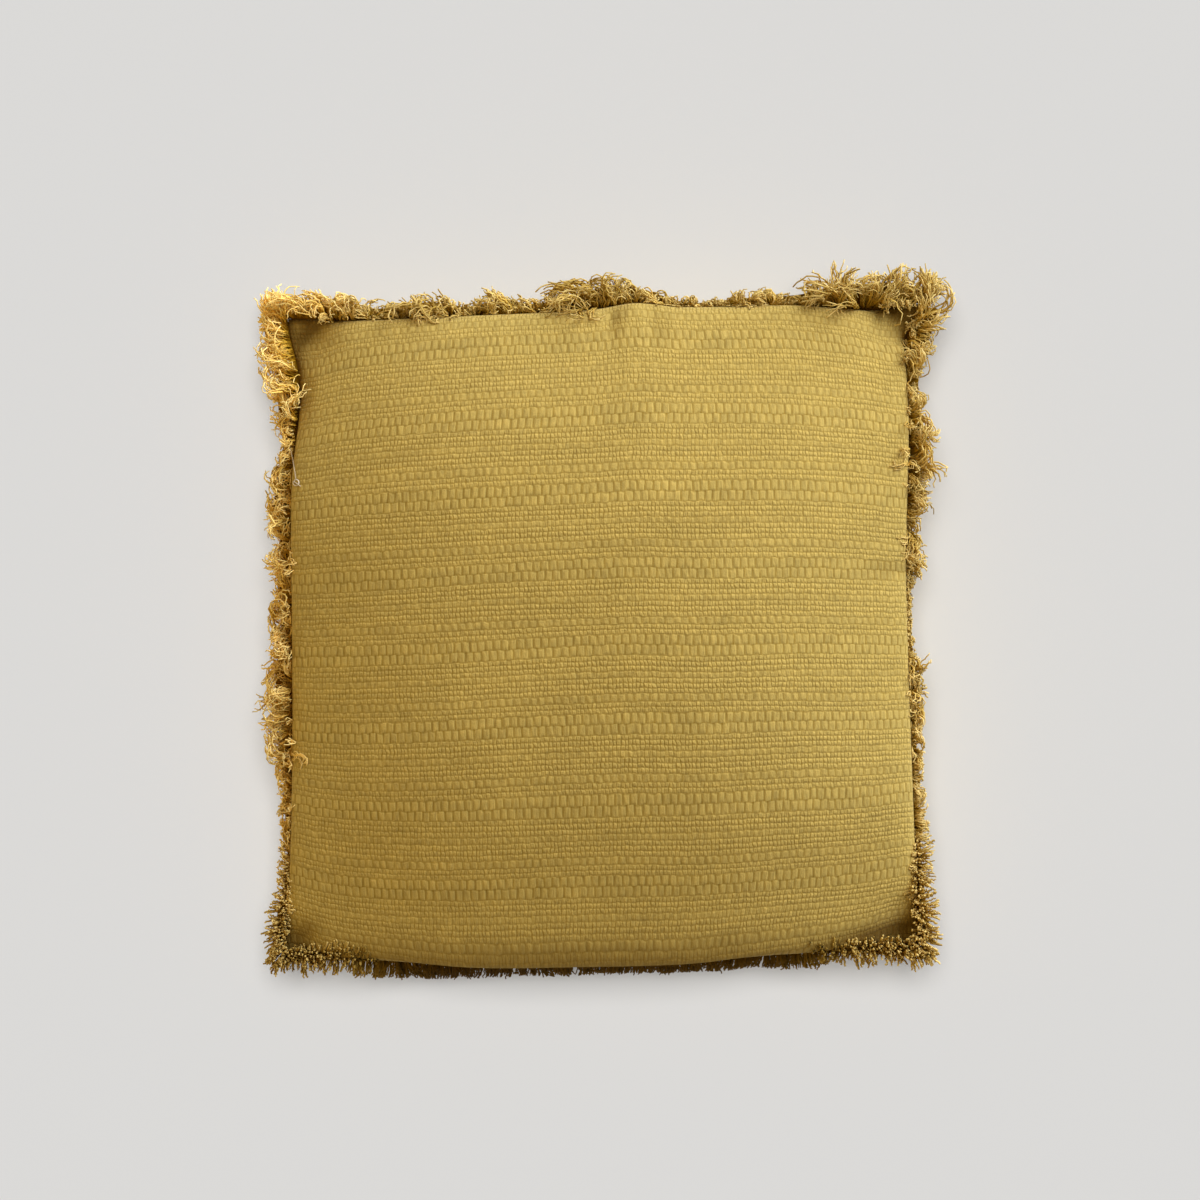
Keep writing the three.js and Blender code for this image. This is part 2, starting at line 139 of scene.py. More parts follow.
# One row for each place along a side: along, inset, lift, belly
sides = {
    "left": {
        "from": "bottomLeft", "to": "topLeft", "outward": (-1, 0), "seed": 11,
        "seam": ((-1.0, 0, 0, 5), (-0.75, 7, 5, 8), (-0.35, 10, 9, 9), (0.1, 8, 10, 8), (0.5, 6.5, 9, 7),
                 (0.82, 8, 4, -2), (1.0, 0, 0, 0)),
    },
    "right": {
        "from": "bottomRight", "to": "topRight", "outward": (1, 0), "seed": 23,
        "seam": ((-1.0, 0, 0, 3), (-0.85, 3, 3, 6), (-0.4, 8.5, 8, 8), (0.2, 12.5, 10, 8), (0.6, 10, 8, 8),
                 (0.88, 9, 3, 6), (1.0, 0, 0, 0)),
    },
    "top": {
        "from": "topLeft", "to": "topRight", "outward": (0, 1), "seed": 37,
        "seam": ((-1.0, 0, 0, 0), (-0.8, 2.5, 4, 4), (-0.4, 4, 9, 8), (-0.02, 1.6, 10, 8),
                 (0.1, -0.8, 11, 10), (0.24, 1.4, 10, 8), (0.6, 2, 8, 8), (0.88, 3.5, 3, 4), (1.0, 0, 0, 0)),
    },
    "bottom": {
        "from": "bottomLeft", "to": "bottomRight", "outward": (0, -1), "seed": 53,
        "seam": ((-1.0, 0, 0, 4), (-0.85, 2, 3, 13), (-0.6, 4, 7, 21), (0.0, 5, 10, 24), (0.35, 5, 9, 22.5),
                 (0.7, 2.5, 6, 13), (0.86, 1, 3, 7), (1.0, 0, 0, 2)),
    },
}
# Folds pressed into the front: x, y, degrees, length, width, depth
folds = (
    (190, -205, 9, 26, 5, 12), (206, 213, -45, 15, 7, 9), (-199, 205, 45, 18, 5, 10),
    (-204, 168, 92, 26, 4.5, 6), (8, 207, 78, 15, 5, 4), (36, 206, 102, 13, 5, 3),
    (-204, -206, 40, 12, 5, 5), (196, 40, 4, 16, 7, 3),
)

# Painted shade on the cover: how dark it is made along the seam, in the corner hollows, in the folds and
# below the bottom's bulge, and how far each reaches
paintedShadeSizes = {
    "seam": 0.75, "seamReach": 4.4, "corner": 0.3, "fold": 0.08, "foldSpread": 1.15,
    "under": 0.55, "underReach": 30, "fullBulge": 24,  # below the bottom's bulge, and its full size in mm
}


# A smooth curve through one column of a table, level at both ends
def tableCurve(rows, column):
    places, values = (np.array([row[n] for row in rows], float) for n in (0, column))
    chords = np.diff(values) / np.diff(places)
    slopes = np.concatenate([[0], (chords[1:] + chords[:-1]) / 2, [0]])

    def curve(along):
        along = np.clip(along, -1, 1)
        cell = np.clip(np.searchsorted(places, along, side="right") - 1, 0, len(places) - 2)
        step = places[cell + 1] - places[cell]
        rise = values[cell + 1] - values[cell]
        start, end = slopes[cell] * step, slopes[cell + 1] * step
        p = (along - places[cell]) / step
        return values[cell] + p * (start + p * (3 * rise - 2 * start - end + p * (start + end - 2 * rise)))

    return curve


# A side's smooth run without its small bumps, which fade out towards the middle of the panels
def broadCurve(curve, width):
    perUnit, reach = cushionForm["broadSteps"], cushionForm["broadReach"]
    steps = np.linspace(-1, 1, 2 * perUnit + 1)
    kernel = np.exp(-((np.arange(-reach, reach + 1) / perUnit / width) ** 2))
    padded = np.pad(curve(steps), reach, mode="reflect")
    broad = np.convolve(padded, kernel / kernel.sum(), mode="valid")
    broad -= np.interp(steps, [-1, 1], [broad[0] - curve(steps)[0], broad[-1] - curve(steps)[-1]])
    return lambda along: np.interp(along, steps, broad)


for side in sides.values():
    side["insetAt"], side["liftAt"], side["bellyAt"] = (tableCurve(side["seam"], n) for n in (1, 2, 3))
    side["broadInsetAt"] = broadCurve(side["insetAt"], cushionForm["broadSeam"])
    side["broadLiftAt"] = broadCurve(side["liftAt"], cushionForm["broadSeam"])


def seamPoint(side, along, inset="insetAt", lift="liftAt"):
    start, end = (np.array(corners[side[key]]["place"], float) for key in ("from", "to"))
    share = ((along + 1) / 2)[..., None]
    point = start + (end - start) * share
    point[..., 0] -= side["outward"][0] * side[inset](along)
    point[..., 1] -= side["outward"][1] * side[inset](along)
    point[..., 2] += side[lift](along)
    return point


def seamDetail(side, along, distance):
    detail = seamPoint(side, along) - seamPoint(side, along, "broadInsetAt", "broadLiftAt")
    return detail * np.exp(-distance / cushionForm["detailReach"])[..., None]


def seamSurface(across, up, detailed=True):
    right, top = ((across + 1) / 2)[..., None], ((up + 1) / 2)[..., None]
    broad = ("broadInsetAt", "broadLiftAt")
    point = seamPoint(sides["left"], up, *broad) * (1 - right)
    point = point + seamPoint(sides["right"], up, *broad) * right
    point = point + seamPoint(sides["bottom"], across, *broad) * (1 - top)
    point = point + seamPoint(sides["top"], across, *broad) * top
    if detailed:
        point += seamDetail(sides["left"], up, 1 + across) + seamDetail(sides["right"], up, 1 - across)
        point += seamDetail(sides["bottom"], across, 1 + up) + seamDetail(sides["top"], across, 1 - up)
    shares = {"bottomLeft": (1 - right) * (1 - top), "bottomRight": right * (1 - top),
              "topLeft": (1 - right) * top, "topRight": right * top}
    for name, share in shares.items():
        point -= np.array(corners[name]["place"], float) * share
    return point


def fullness(across, up):
    power = cushionForm["crownPower"]
    full = np.sqrt(np.clip((1 - np.abs(across) ** power) * (1 - np.abs(up) ** power), 0, None))
    for corner in corners.values():
        x, y = corner["place"][:2]
        away = np.hypot((1 - across * np.sign(x)) * abs(x), (1 - up * np.sign(y)) * abs(y))
        away = away / corner["emptyReach"]
        full = full * (1 - corner["emptiness"] * np.exp(-away ** cushionForm["emptyPower"]))
    return full


def bellyOffset(across, up):
    place = cushionForm["bellyPlace"]

    def swell(distance):
        return distance / place * np.exp(1 - distance / place)

    def strength(spot):
        return np.sqrt(np.clip(1 - np.abs(spot) ** cushionForm["bellyCornerPower"], 0, None))

    x = (sides["right"]["bellyAt"](up) * swell(1 - across) - sides["left"]["bellyAt"](up) * swell(1 + across))
    y = (sides["top"]["bellyAt"](across) * swell(1 - up) - sides["bottom"]["bellyAt"](across) * swell(1 + up))
    return x * strength(up), y * strength(across)


def foldDepth(x, y, spread=1.0):
    depth = np.zeros_like(x)
    for foldX, foldY, degrees, length, width, deep in folds:
        length, width = length * spread, width * spread
        turn = math.radians(degrees)
        alongFold = (x - foldX) * math.cos(turn) + (y - foldY) * math.sin(turn)
        acrossFold = (y - foldY) * math.cos(turn) - (x - foldX) * math.sin(turn)
        depth += deep * np.exp(-((alongFold / length) ** 2) - (acrossFold / width) ** 2)
    return depth


# Painted shade on the cloth, from 0 to 1: darker in its folds, in the hollows of the corners, along the seam
# and below the bottom's bulge
def paintedHollowShade(points, seamDistance, bottomDistance, across):
    x, y = points[..., 0], points[..., 1]
    shade = paintedShadeSizes["seam"] * np.exp(-(seamDistance / paintedShadeSizes["seamReach"]) ** 2)
    for corner in corners.values():
        away = np.hypot(x - corner["place"][0], y - corner["place"][1]) / corner["emptyReach"]
        shade = shade + paintedShadeSizes["corner"] * corner["emptiness"] * np.exp(-away ** 4)
    shade = shade + paintedShadeSizes["fold"] * foldDepth(x, y, paintedShadeSizes["foldSpread"])
    bulge = np.clip(sides["bottom"]["bellyAt"](across) / paintedShadeSizes["fullBulge"], 0, 1)
    shade = shade + paintedShadeSizes["under"] * bulge * np.exp(-(bottomDistance / paintedShadeSizes["underReach"]) ** 4)
    return np.clip(shade, 0, 1)


def lumps(x, y):
    broadX, broadY = cushionForm["broadLump"]
    fineX, fineY = cushionForm["fineLump"]
    broad = np.sin(x / broadX) * np.cos(y / broadY)
    fine = np.sin(x / fineX - y / fineY) * np.cos(y / fineX)
    return cushionForm["lumpHeight"] * (broad + cushionForm["fineShare"] * fine)


def restOnFloor(height):
    blend = cushionForm["floorBlend"]
    rounded = (height + blend) ** 2 / (4 * blend)
    return np.where(height <= -blend, 0, np.where(height >= blend, height, rounded))


def frontPoint(across, up, detailed=True):
    point, full = seamSurface(across, up, detailed), fullness(across, up)
    bellyX, bellyY = bellyOffset(across, up)
    rise = cushionForm["frontCrown"] * full
    rise = rise + cushionForm["dome"] * (1 - across ** 2) * (1 - up ** 2) * (1 - cushionForm["domeSag"] * up)
    bump = lumps(point[..., 0], point[..., 1]) - foldDepth(point[..., 0], point[..., 1])
    bump = bump * np.minimum(1, full / cushionForm["bumpFullness"]) * detailed
    point[..., 0] += bellyX
    point[..., 1] += bellyY
    point[..., 2] += cushionForm["seamHalfThickness"] + rise
    point[..., 2] += np.maximum(bump, -cushionForm["deepestFoldShare"] * rise)
    return point


def backPoint(across, up, detailed=True):
    point, full = seamSurface(across, up, detailed), fullness(across, up)
    bump = lumps(point[..., 1], point[..., 0]) * full
    point[..., 2] = restOnFloor(
        point[..., 2] - cushionForm["seamHalfThickness"] - cushionForm["backCrown"] * full + bump)
    return point


# Spreads a panel's cloth evenly over its form, so that every strip of weave keeps its length. The small
# folds are left out of this, or each of them would shift whole rows. rowLift then takes out the bow of the
# lower rows.
def evenPanel(pointAt, cells, rounds, rowLift=0.0):
    steps = np.linspace(-1, 1, cells + 1)
    across, up = (grid.copy() for grid in np.meshgrid(steps, steps))
    for _ in range(rounds):
        for axis, spots in ((1, across), (0, up)):
            gaps = np.diff(pointAt(across, up, False), axis=axis)
            length = np.linalg.norm(gaps, axis=2)
            ahead = np.clip(0.5 + gaps[..., 1 - axis] / np.maximum(length, 1e-6), 0, 1)
            gaps = length * (coverCloth["tuckShare"] + (1 - coverCloth["tuckShare"]) * ahead)
            run = np.insert(np.cumsum(gaps, axis=axis), 0, 0, axis=axis)
            for line in range(cells + 1):
                pick = (line, slice(None)) if axis == 1 else (slice(None), line)
                spots[pick] = np.interp(steps * 0.5 + 0.5, run[pick] / run[pick][-1], spots[pick].copy())
    height = (1 + up) * 0.5
    mostAtQuarter = 9.5  # makes the lift whole a quarter of the way up
    up = up + rowLift * (1 - across ** 2) * height * (1 - height) ** 3 * mostAtQuarter
    return pointAt(across, up)


# Cloth simulation of the cover: the flat panels filled between pinned seams
coverCloth = {
    "across": 466, "up": 500,  # mm of cloth between the seams
    # tuckShare is how much cloth is counted where the form turns back under a bulge
    "cells": 64, "evenRounds": 4, "tuckShare": 0.7, "rowLift": 0.085,
    "pressure": 4.0, "frames": 26, "tension": 18, "compression": 6, "shear": 4, "bending": 1.2, "mass": 0.25,
    "damping": 3, "quality": 6,
    "mostMove": 7, "riseRounds": 40, "slideRounds": 160,  # the simulated move is held to mm and evened out
}


def addCage():
    cells = coverCloth["cells"]
    bpy.ops.mesh.primitive_grid_add(x_subdivisions=cells, y_subdivisions=cells, size=2, location=(0, 0, 0))
    cage = bpy.context.object
    cage.name = "coverCage"
    bpy.ops.object.mode_set(mode="EDIT")
    bpy.ops.mesh.extrude_region_move(TRANSFORM_OT_translate={"value": (0, 0, 1)})
    bpy.ops.mesh.select_all(action="SELECT")
    bpy.ops.mesh.normals_make_consistent(inside=False)
    bpy.ops.object.mode_set(mode="OBJECT")
    flat = readPoints(cage)
    columns = np.rint((flat[:, 0] + 1) / 2 * cells).astype(int)
    rows = np.rint((flat[:, 1] + 1) / 2 * cells).astype(int)
    return cage, rows, columns, flat[:, 2] > 0.5


def readPoints(piece):
    points = np.empty(len(piece.data.vertices) * 3)
    piece.data.vertices.foreach_get("co", points)
    return points.reshape(-1, 3)


def writePoints(piece, points):
    piece.data.vertices.foreach_set("co", np.asarray(points, float).ravel())
    piece.data.update()


def simulateCover():
    settings = coverCloth
    cells = settings["cells"]
    front = evenPanel(frontPoint, cells, settings["evenRounds"], settings["rowLift"])
    back = evenPanel(backPoint, cells, settings["evenRounds"])
    cage, rows, columns, isFront = addCage()
    halfAcross, halfUp = settings["across"] / 2 * mm, settings["up"] / 2 * mm
    formed = np.where(isFront[:, None], front[rows, columns], back[rows, columns]) * mm
    flat = np.stack([(columns / cells * 2 - 1) * halfAcross, (rows / cells * 2 - 1) * halfUp,
                     np.where(isFront, 1, -1) * cushionForm["seamHalfThickness"] * mm], axis=1)
    writePoints(cage, formed)
    cage.shape_key_add(name="formed")
    flatKey = cage.shape_key_add(name="flatPanels")
    flatKey.data.foreach_set("co", flat.ravel())
    flatKey.value = 0
    onSeam = (rows == 0) | (rows == cells) | (columns == 0) | (columns == cells)
    pinned = cage.vertex_groups.new(name="seam")
    pinned.add([int(i) for i in np.nonzero(onSeam)[0]], 1.0, "REPLACE")
    cloth = cage.modifiers.new("filling", "CLOTH").settings
    cloth.quality = settings["quality"]
    cloth.mass = settings["mass"]
    cloth.tension_stiffness = settings["tension"]
    cloth.compression_stiffness = settings["compression"]
    cloth.shear_stiffness = settings["shear"]
    cloth.bending_stiffness = settings["bending"]
    cloth.tension_damping = cloth.compression_damping = settings["damping"]
    cloth.air_damping = settings["damping"]
    cloth.use_pressure = True
    cloth.uniform_pressure_force = settings["pressure"]
    cloth.effector_weights.gravity = 0
    cloth.vertex_group_mass = "seam"
    cloth.rest_shape_key = flatKey
    scene = bpy.context.scene
    for number in range(1, settings["frames"] + 1):
        scene.frame_set(number)
    evaluated = cage.evaluated_get(bpy.context.evaluated_depsgraph_get())
    points = np.empty(len(evaluated.data.vertices) * 3)
    evaluated.data.vertices.foreach_get("co", points)
    moved = (points.reshape(-1, 3) - formed) / mm
    length = np.linalg.norm(moved, axis=1, keepdims=True)
    most = settings["mostMove"]
    print(f"cloth moved up to {length.max():.1f} mm, {length.mean():.1f} mm on average")
    moved *= most * np.tanh(length / most) / np.maximum(length, 1e-6)
    front, back = front.copy(), back.copy()
    for panel, side in ((front, isFront), (back, ~isFront)):
        move = np.zeros_like(panel)
        move[rows[side], columns[side]] = moved[side]
        rise = smoothInside(move.copy(), settings["riseRounds"])
        slide = smoothInside(move, settings["slideRounds"])
        panel += np.concatenate([slide[..., :2], rise[..., 2:]], axis=2)
    bpy.data.objects.remove(cage)
    scene.frame_set(1)
    return front, back


# Evens out a grid of moves, so that the filling swells without sharp creases at the pinned corners
def smoothInside(grid, rounds):
    for _ in range(rounds):
        grid[1:-1, 1:-1] = (grid[1:-1, 1:-1] * 2 + grid[:-2, 1:-1] + grid[2:, 1:-1]
                            + grid[1:-1, :-2] + grid[1:-1, 2:]) / 6
    return grid


frontCage, backCage = simulateCover()
backCage[..., 2] = np.maximum(backCage[..., 2], 0)
print("cover filled")

# The woven cover. Picks of one repeat in mm, from the bottom up, with how thick each one is from 0 to 1
weave = {
    "ends": 178,
    "picks": ((3.8, 0), (3.8, 0), (3.8, 0), (4.7, 0.4), (3.8, 0), (3.8, 0), (3.8, 0), (7.6, 1), (7.6, 1),
              (3.8, 0), (3.8, 0), (5.9, 0.8)),
    # Where mesh rows lie on a thin, medium and thick pick, as a share of it
    "rowPlaces": ((0, (0,)), (0.2, (0, 0.25, 0.75)), (0.7, (0, 0.14, 0.5, 0.86))),
    "firstPick": 7, "backColumnStep": 8,
    "leastPick": 2.5,  # mm of cloth left at the top that isn't given a pick of its own
    "thickHeight": 0.09, "barPower": 0.3, "betweenBars": 0.15, "pickRound": 0.5, "unevenHeight": 0.35,
    "wander": 0.45, "wanderRows": 9, "wanderColumns": 60, "wanderFade": 20, "seed": 5,
    "seamFade": 2.5,  # ends over which the relief dies out at the seam
    "backShift": 400,  # picks, so that the back's tones differ from the front's
}


def layPicks():
    left = coverCloth["up"]
    repeat = weave["picks"]
    picks, number = [], weave["firstPick"]
    while left > weave["leastPick"]:
        size, thickness = repeat[number % len(repeat)]
        picks.append((min(size, left), thickness))
        left -= size
        number += 1
    heights = np.array([size for size, _ in picks])
    return heights, np.array([thickness for _, thickness in picks])


# Rows of the front mesh: place over the panel from 0 to 1, pick number with its share, and thickness
def weaveRows(pickHeights, pickThickness):
    rows, place = [], 0.0
    for number, (height, thickness) in enumerate(zip(pickHeights, pickThickness)):
        shares = [places for least, places in weave["rowPlaces"] if thickness >= least][-1]
        for share in shares:
            nearest = thickness if share else (thickness + pickThickness[max(0, number - 1)]) / 2
            rows.append((place + height * share, number + share, nearest))
        place += height
    rows.append((place, len(pickHeights), pickThickness[-1]))
    rows = np.array(rows)
    rows[:, 0] /= place
    return rows


def smoothWeights(spots, cells):
    table = np.zeros((len(spots), cells + 1))
    for row, spot in enumerate(np.clip(spots, 0, 1) * cells):
        cell = min(int(spot), cells - 1)
        f = spot - cell
        shares = (-0.5 * f + f * f - 0.5 * f ** 3, 1 - 2.5 * f * f + 1.5 * f ** 3,
                  0.5 * f + 2 * f * f - 1.5 * f ** 3, -0.5 * f * f + 0.5 * f ** 3)
        for offset, share in zip((-1, 0, 1, 2), shares):
            place = cell + offset
            if place < 0:
                table[row, 0] += 2 * share
                table[row, 1] -= share
            elif place > cells:
                table[row, cells] += 2 * share
                table[row, cells - 1] -= share
            else:
                table[row, place] += share
    return table


def samplePanel(cage, rowSpots, columnSpots):
    cells = cage.shape[0] - 1
    downRows, alongColumns = smoothWeights(rowSpots, cells), smoothWeights(columnSpots, cells)
    return np.einsum("rc,cdk,sd->rsk", downRows, cage, alongColumns)


def panelNormals(points, facing):
    normals = np.cross(np.gradient(points, axis=1), np.gradient(points, axis=0)) * facing
    return normals / np.maximum(np.linalg.norm(normals, axis=2, keepdims=True), 1e-9)


def smoothNoise(random, rows, columns, rowStep, columnStep):
    coarseRows, coarseColumns = int(rows / rowStep) + 2, int(columns / columnStep) + 2
    coarse = random.normal(0, 1, (coarseRows, coarseColumns, 1))
    downRows = smoothWeights(np.linspace(0, 1, rows), coarseRows - 1)
    alongColumns = smoothWeights(np.linspace(0, 1, columns), coarseColumns - 1)
    return np.einsum("rc,cdk,sd->rsk", downRows, coarse, alongColumns)[..., 0]


# Height of the woven relief in mm at every mesh point of the front
def weaveRelief(rows, ends, random):
    pick = np.floor(rows[:, 1] + 1e-6).astype(int)[:, None]
    share = (rows[:, 1] - np.floor(rows[:, 1] + 1e-6))[:, None]
    thickness = rows[:, 2][:, None]
    inPick = (share > 1e-3) * (1 - np.abs(share * 2 - 1) ** 4 * weave["pickRound"])
    bars = 0.5 + 0.5 * np.cos(math.pi * (ends[None, :] - 0.5 - pick))
    relief = weave["thickHeight"] * (bars ** weave["barPower"] + weave["betweenBars"]) * thickness * inPick
    cellNoise = random.normal(0, 1, (pick.max() + 1, int(ends[-1]) + 1))
    relief *= 1 + weave["unevenHeight"] * cellNoise[pick[:, 0]][:, np.floor(ends).astype(int)]
    edge = np.minimum(ends, ends[-1] - ends)[None, :]
    endEdge = np.minimum(rows[:, 1], rows[-1, 1] - rows[:, 1])[:, None]
    return relief * np.clip(edge / weave["seamFade"], 0, 1) * np.clip(endEdge / weave["seamFade"], 0, 1)


def addAttribute(mesh, label, values):
    mesh.attributes.new(label, "FLOAT", "POINT").data.foreach_set("value", values.astype(np.float32))


def addPanel(name, columns, rows, points, uvs, thickness, shade, flip):
    bpy.ops.mesh.primitive_grid_add(x_subdivisions=columns, y_subdivisions=rows, size=2, location=(0, 0, 0))
    panel = bpy.context.object
    panel.name = name
    mesh = panel.data
    writePoints(panel, points.reshape(-1, 3) * mm)
    loops = np.empty(len(mesh.loops), int)
    mesh.loops.foreach_get("vertex_index", loops)
    mesh.uv_layers[0].name = "weaveMap"
    mesh.uv_layers[0].data.foreach_set("uv", uvs.reshape(-1, 2)[loops].ravel())
    addAttribute(mesh, "pickThickness", thickness.ravel())
    # This attribute carries the painted shade of the seams, corner hollows, folds and the bottom's underside
    addAttribute(mesh, "paintedShade", shade.ravel())
    if flip:
        bpy.ops.object.mode_set(mode="EDIT")
        bpy.ops.mesh.select_all(action="SELECT")
        bpy.ops.mesh.flip_normals()
        bpy.ops.object.mode_set(mode="OBJECT")
    return panel


# Closes the seam between the fine front and the coarse back with a narrow wall of triangles
def sewPanels(piece, frontCount, frontShape, backShape, rowNumbers, columnStep):
    frontRows, frontColumns = frontShape
    backRows, backColumns = backShape
    mesh = bmesh.new()
    mesh.from_mesh(piece.data)
    mesh.verts.ensure_lookup_table()
    layer = mesh.loops.layers.uv["weaveMap"]
    front = np.arange(frontCount).reshape(frontRows, frontColumns)
    back = frontCount + np.arange(backRows * backColumns).reshape(backRows, backColumns)
    columnNumbers = [min(n * columnStep, frontColumns - 1) for n in range(backColumns)]
    borders = (
        (front[0], back[0], columnNumbers, 1), (front[-1], back[-1], columnNumbers, -1),
        (front[:, 0], back[:, 0], rowNumbers, -1), (front[:, -1], back[:, -1], rowNumbers, 1),
    )
    spots = {}
    for face in mesh.faces:
        for loop in face.loops:
            if loop.vert.is_boundary:
                spots[loop.vert.index] = loop[layer].uv.copy()
    for fine, coarse, numbers, facing in borders:
        for n in range(len(coarse) - 1):
            first, last = numbers[n], numbers[n + 1]
            fan = [(coarse[n], fine[k + 1], fine[k]) for k in range(first, last)]
            fan.append((coarse[n], coarse[n + 1], fine[last]))
            for triangle in fan:
                order = triangle if facing > 0 else triangle[::-1]
                face = mesh.faces.new([mesh.verts[int(v)] for v in order])
                face.smooth = True
                for loop in face.loops:
                    loop[layer].uv = spots[loop.vert.index]
    mesh.to_mesh(piece.data)
    mesh.free()


def addCover():
    random = np.random.default_rng(weave["seed"])
    heights, thickness = layPicks()
    rows = weaveRows(heights, thickness)
    columns = weave["ends"] * 2
    ends = np.arange(columns + 1) / 2
    smooth = samplePanel(frontCage, rows[:, 0], ends / weave["ends"])
    relief = weaveRelief(rows, ends, random)
    wander = smoothNoise(random, len(rows), columns + 1, weave["wanderRows"], weave["wanderColumns"])
    wander *= weave["wander"]
    wander *= np.clip(np.minimum(rows[:, 0], 1 - rows[:, 0]) * weave["wanderFade"], 0, 1)[:, None]
    rowWay = np.gradient(smooth, axis=0)
    rowWay /= np.maximum(np.linalg.norm(rowWay, axis=2, keepdims=True), 1e-9)
    points = smooth + panelNormals(smooth, 1) * relief[..., None] + rowWay * wander[..., None]
    uvs = np.stack(np.broadcast_arrays(ends[None, :], rows[:, 1][:, None]), axis=2)
    pickThickness = np.broadcast_to(rows[:, 2][:, None], relief.shape)
    fromSide = np.minimum(ends, ends[-1] - ends)[None, :] / weave["ends"] * coverCloth["across"]
    seamDistance = np.minimum(fromSide, np.minimum(rows[:, 0], 1 - rows[:, 0])[:, None] * coverCloth["up"])
    bottomDistance = rows[:, 0][:, None] * coverCloth["up"]
    shade = paintedHollowShade(smooth, seamDistance, bottomDistance, (ends / weave["ends"] * 2 - 1)[None, :])
    front = addPanel("cover", columns, len(rows) - 1, points, uvs, pickThickness, shade, False)

    starts = [i for i, row in enumerate(rows) if abs(row[1] - round(row[1])) < 1e-6]
    step = weave["backColumnStep"]
    backEnds = ends[::step]
    backRows = rows[starts]
    backSmooth = samplePanel(backCage, backRows[:, 0], backEnds / weave["ends"])
    backSmooth[..., 2] = np.maximum(backSmooth[..., 2], 0)
    backPicks = backRows[:, 1][:, None] + weave["backShift"]
    backUvs = np.stack(np.broadcast_arrays(backEnds[None, :], backPicks), axis=2)
    backThickness = np.broadcast_to(backRows[:, 2][:, None], backSmooth.shape[:2])
    back = addPanel("coverBack", len(backEnds) - 1, len(backRows) - 1, backSmooth, backUvs, backThickness,
                    np.zeros(backSmooth.shape[:2]), True)

    bpy.ops.object.select_all(action="DESELECT")
    back.select_set(True)
    front.select_set(True)
    bpy.context.view_layer.objects.active = front
    bpy.ops.object.join()
    sewPanels(front, len(rows) * (columns + 1), (len(rows), columns + 1), (len(backRows), len(backEnds)),
              starts, step)
    bpy.ops.object.mode_set(mode="EDIT")
    bpy.ops.mesh.select_all(action="SELECT")
    bpy.ops.mesh.quads_convert_to_tris(quad_method="SHORTEST_DIAGONAL")
    bpy.ops.object.mode_set(mode="OBJECT")
    bpy.ops.object.shade_smooth()
    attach(front, "root")
    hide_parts("cushion")
    return front


cover = addCover()
print("cover woven", len(cover.data.polygons))
sewn = BVHTree.FromObject(cover, bpy.context.evaluated_depsgraph_get())

# The frayed edge. One row for each tuft or gap along a side: along, reach in mm, slope in degrees, curl and
# tone as shares. A tone under 1 is painted shade, as on the dark bottom edge, and one over 1 painted light,
# as on the bright left edge
tufts = {
    "left": ((-1.0, 17, 20, 0.25, 0.8), (-0.88, 15, 40, 0.25, 0.9), (-0.72, 10, 50, 0.35, 1.1),
             (-0.5, 12, 42, 1, 1.25), (-0.32, 17, 36, 1, 1.25), (-0.12, 21, 30, 1, 1.25),
             (0.03, 14, 40, 1, 1.25), (0.15, 18, 34, 1, 1.25), (0.28, 14, 38, 1, 1.25),
             (0.38, 21, 28, 1, 1.25), (0.58, 13, 38, 1, 1.25), (0.7, 20, 32, 1, 1.25),
             (0.88, 22, 26, 0.9, 1.3), (1.0, 26, 18, 0.7, 1.45)),
    "right": ((-1.0, 20, 25, 0.25, 0.85), (-0.92, 18, 40, 0.25, 0.85), (-0.7, 14, 45, 0.35, 0.9),
              (-0.42, 9, 50, 0.8, 1), (-0.17, 14, 44, 1, 0.92), (-0.05, 8, 50, 1, 0.92),
              (0.12, 9, 50, 1, 0.92), (0.25, 17, 36, 1, 0.92), (0.31, 8, 46, 1, 0.92),
              (0.37, 20, 36, 1, 0.92), (0.46, 16, 40, 1, 0.92), (0.52, 22, 32, 1, 0.95),
              (0.68, 14, 42, 1, 0.95), (0.88, 20, 34, 0.9, 0.9), (1.0, 21, 18, 0.7, 0.9)),
    "top": ((-1.0, 21, 16, 0.7, 1.3), (-0.88, 17, 26, 0.9, 1.2), (-0.68, 12, 44, 1, 0.9),
            (-0.55, 18, 38, 1, 0.9), (-0.44, 13, 44, 1, 0.9), (-0.31, 18, 36, 1, 0.9),
            (-0.22, 13, 44, 1, 0.9), (0.0, 23, 30, 1, 0.9), (0.15, 16, 38, 1, 0.9), (0.27, 8, 48, 1, 0.95),
            (0.48, 12, 42, 1, 0.95), (0.62, 14, 38, 1, 0.95), (0.74, 24, 28, 1, 0.95),
            (0.9, 25, 22, 0.9, 0.9), (1.0, 19, 16, 0.7, 0.9)),
    "bottom": ((-1.0, 17, 20, 0.2, 0.75), (-0.82, 19, 4, 0.2, 0.7), (-0.62, 22.5, -22, 0.15, 0.2),
               (0.0, 22.5, -26, 0.15, 0.12), (0.35, 21.5, -24, 0.15, 0.12), (0.6, 18, -16, 0.2, 0.22),
               (0.8, 17, 6, 0.25, 0.75), (1.0, 20, 20, 0.2, 0.85)),
}
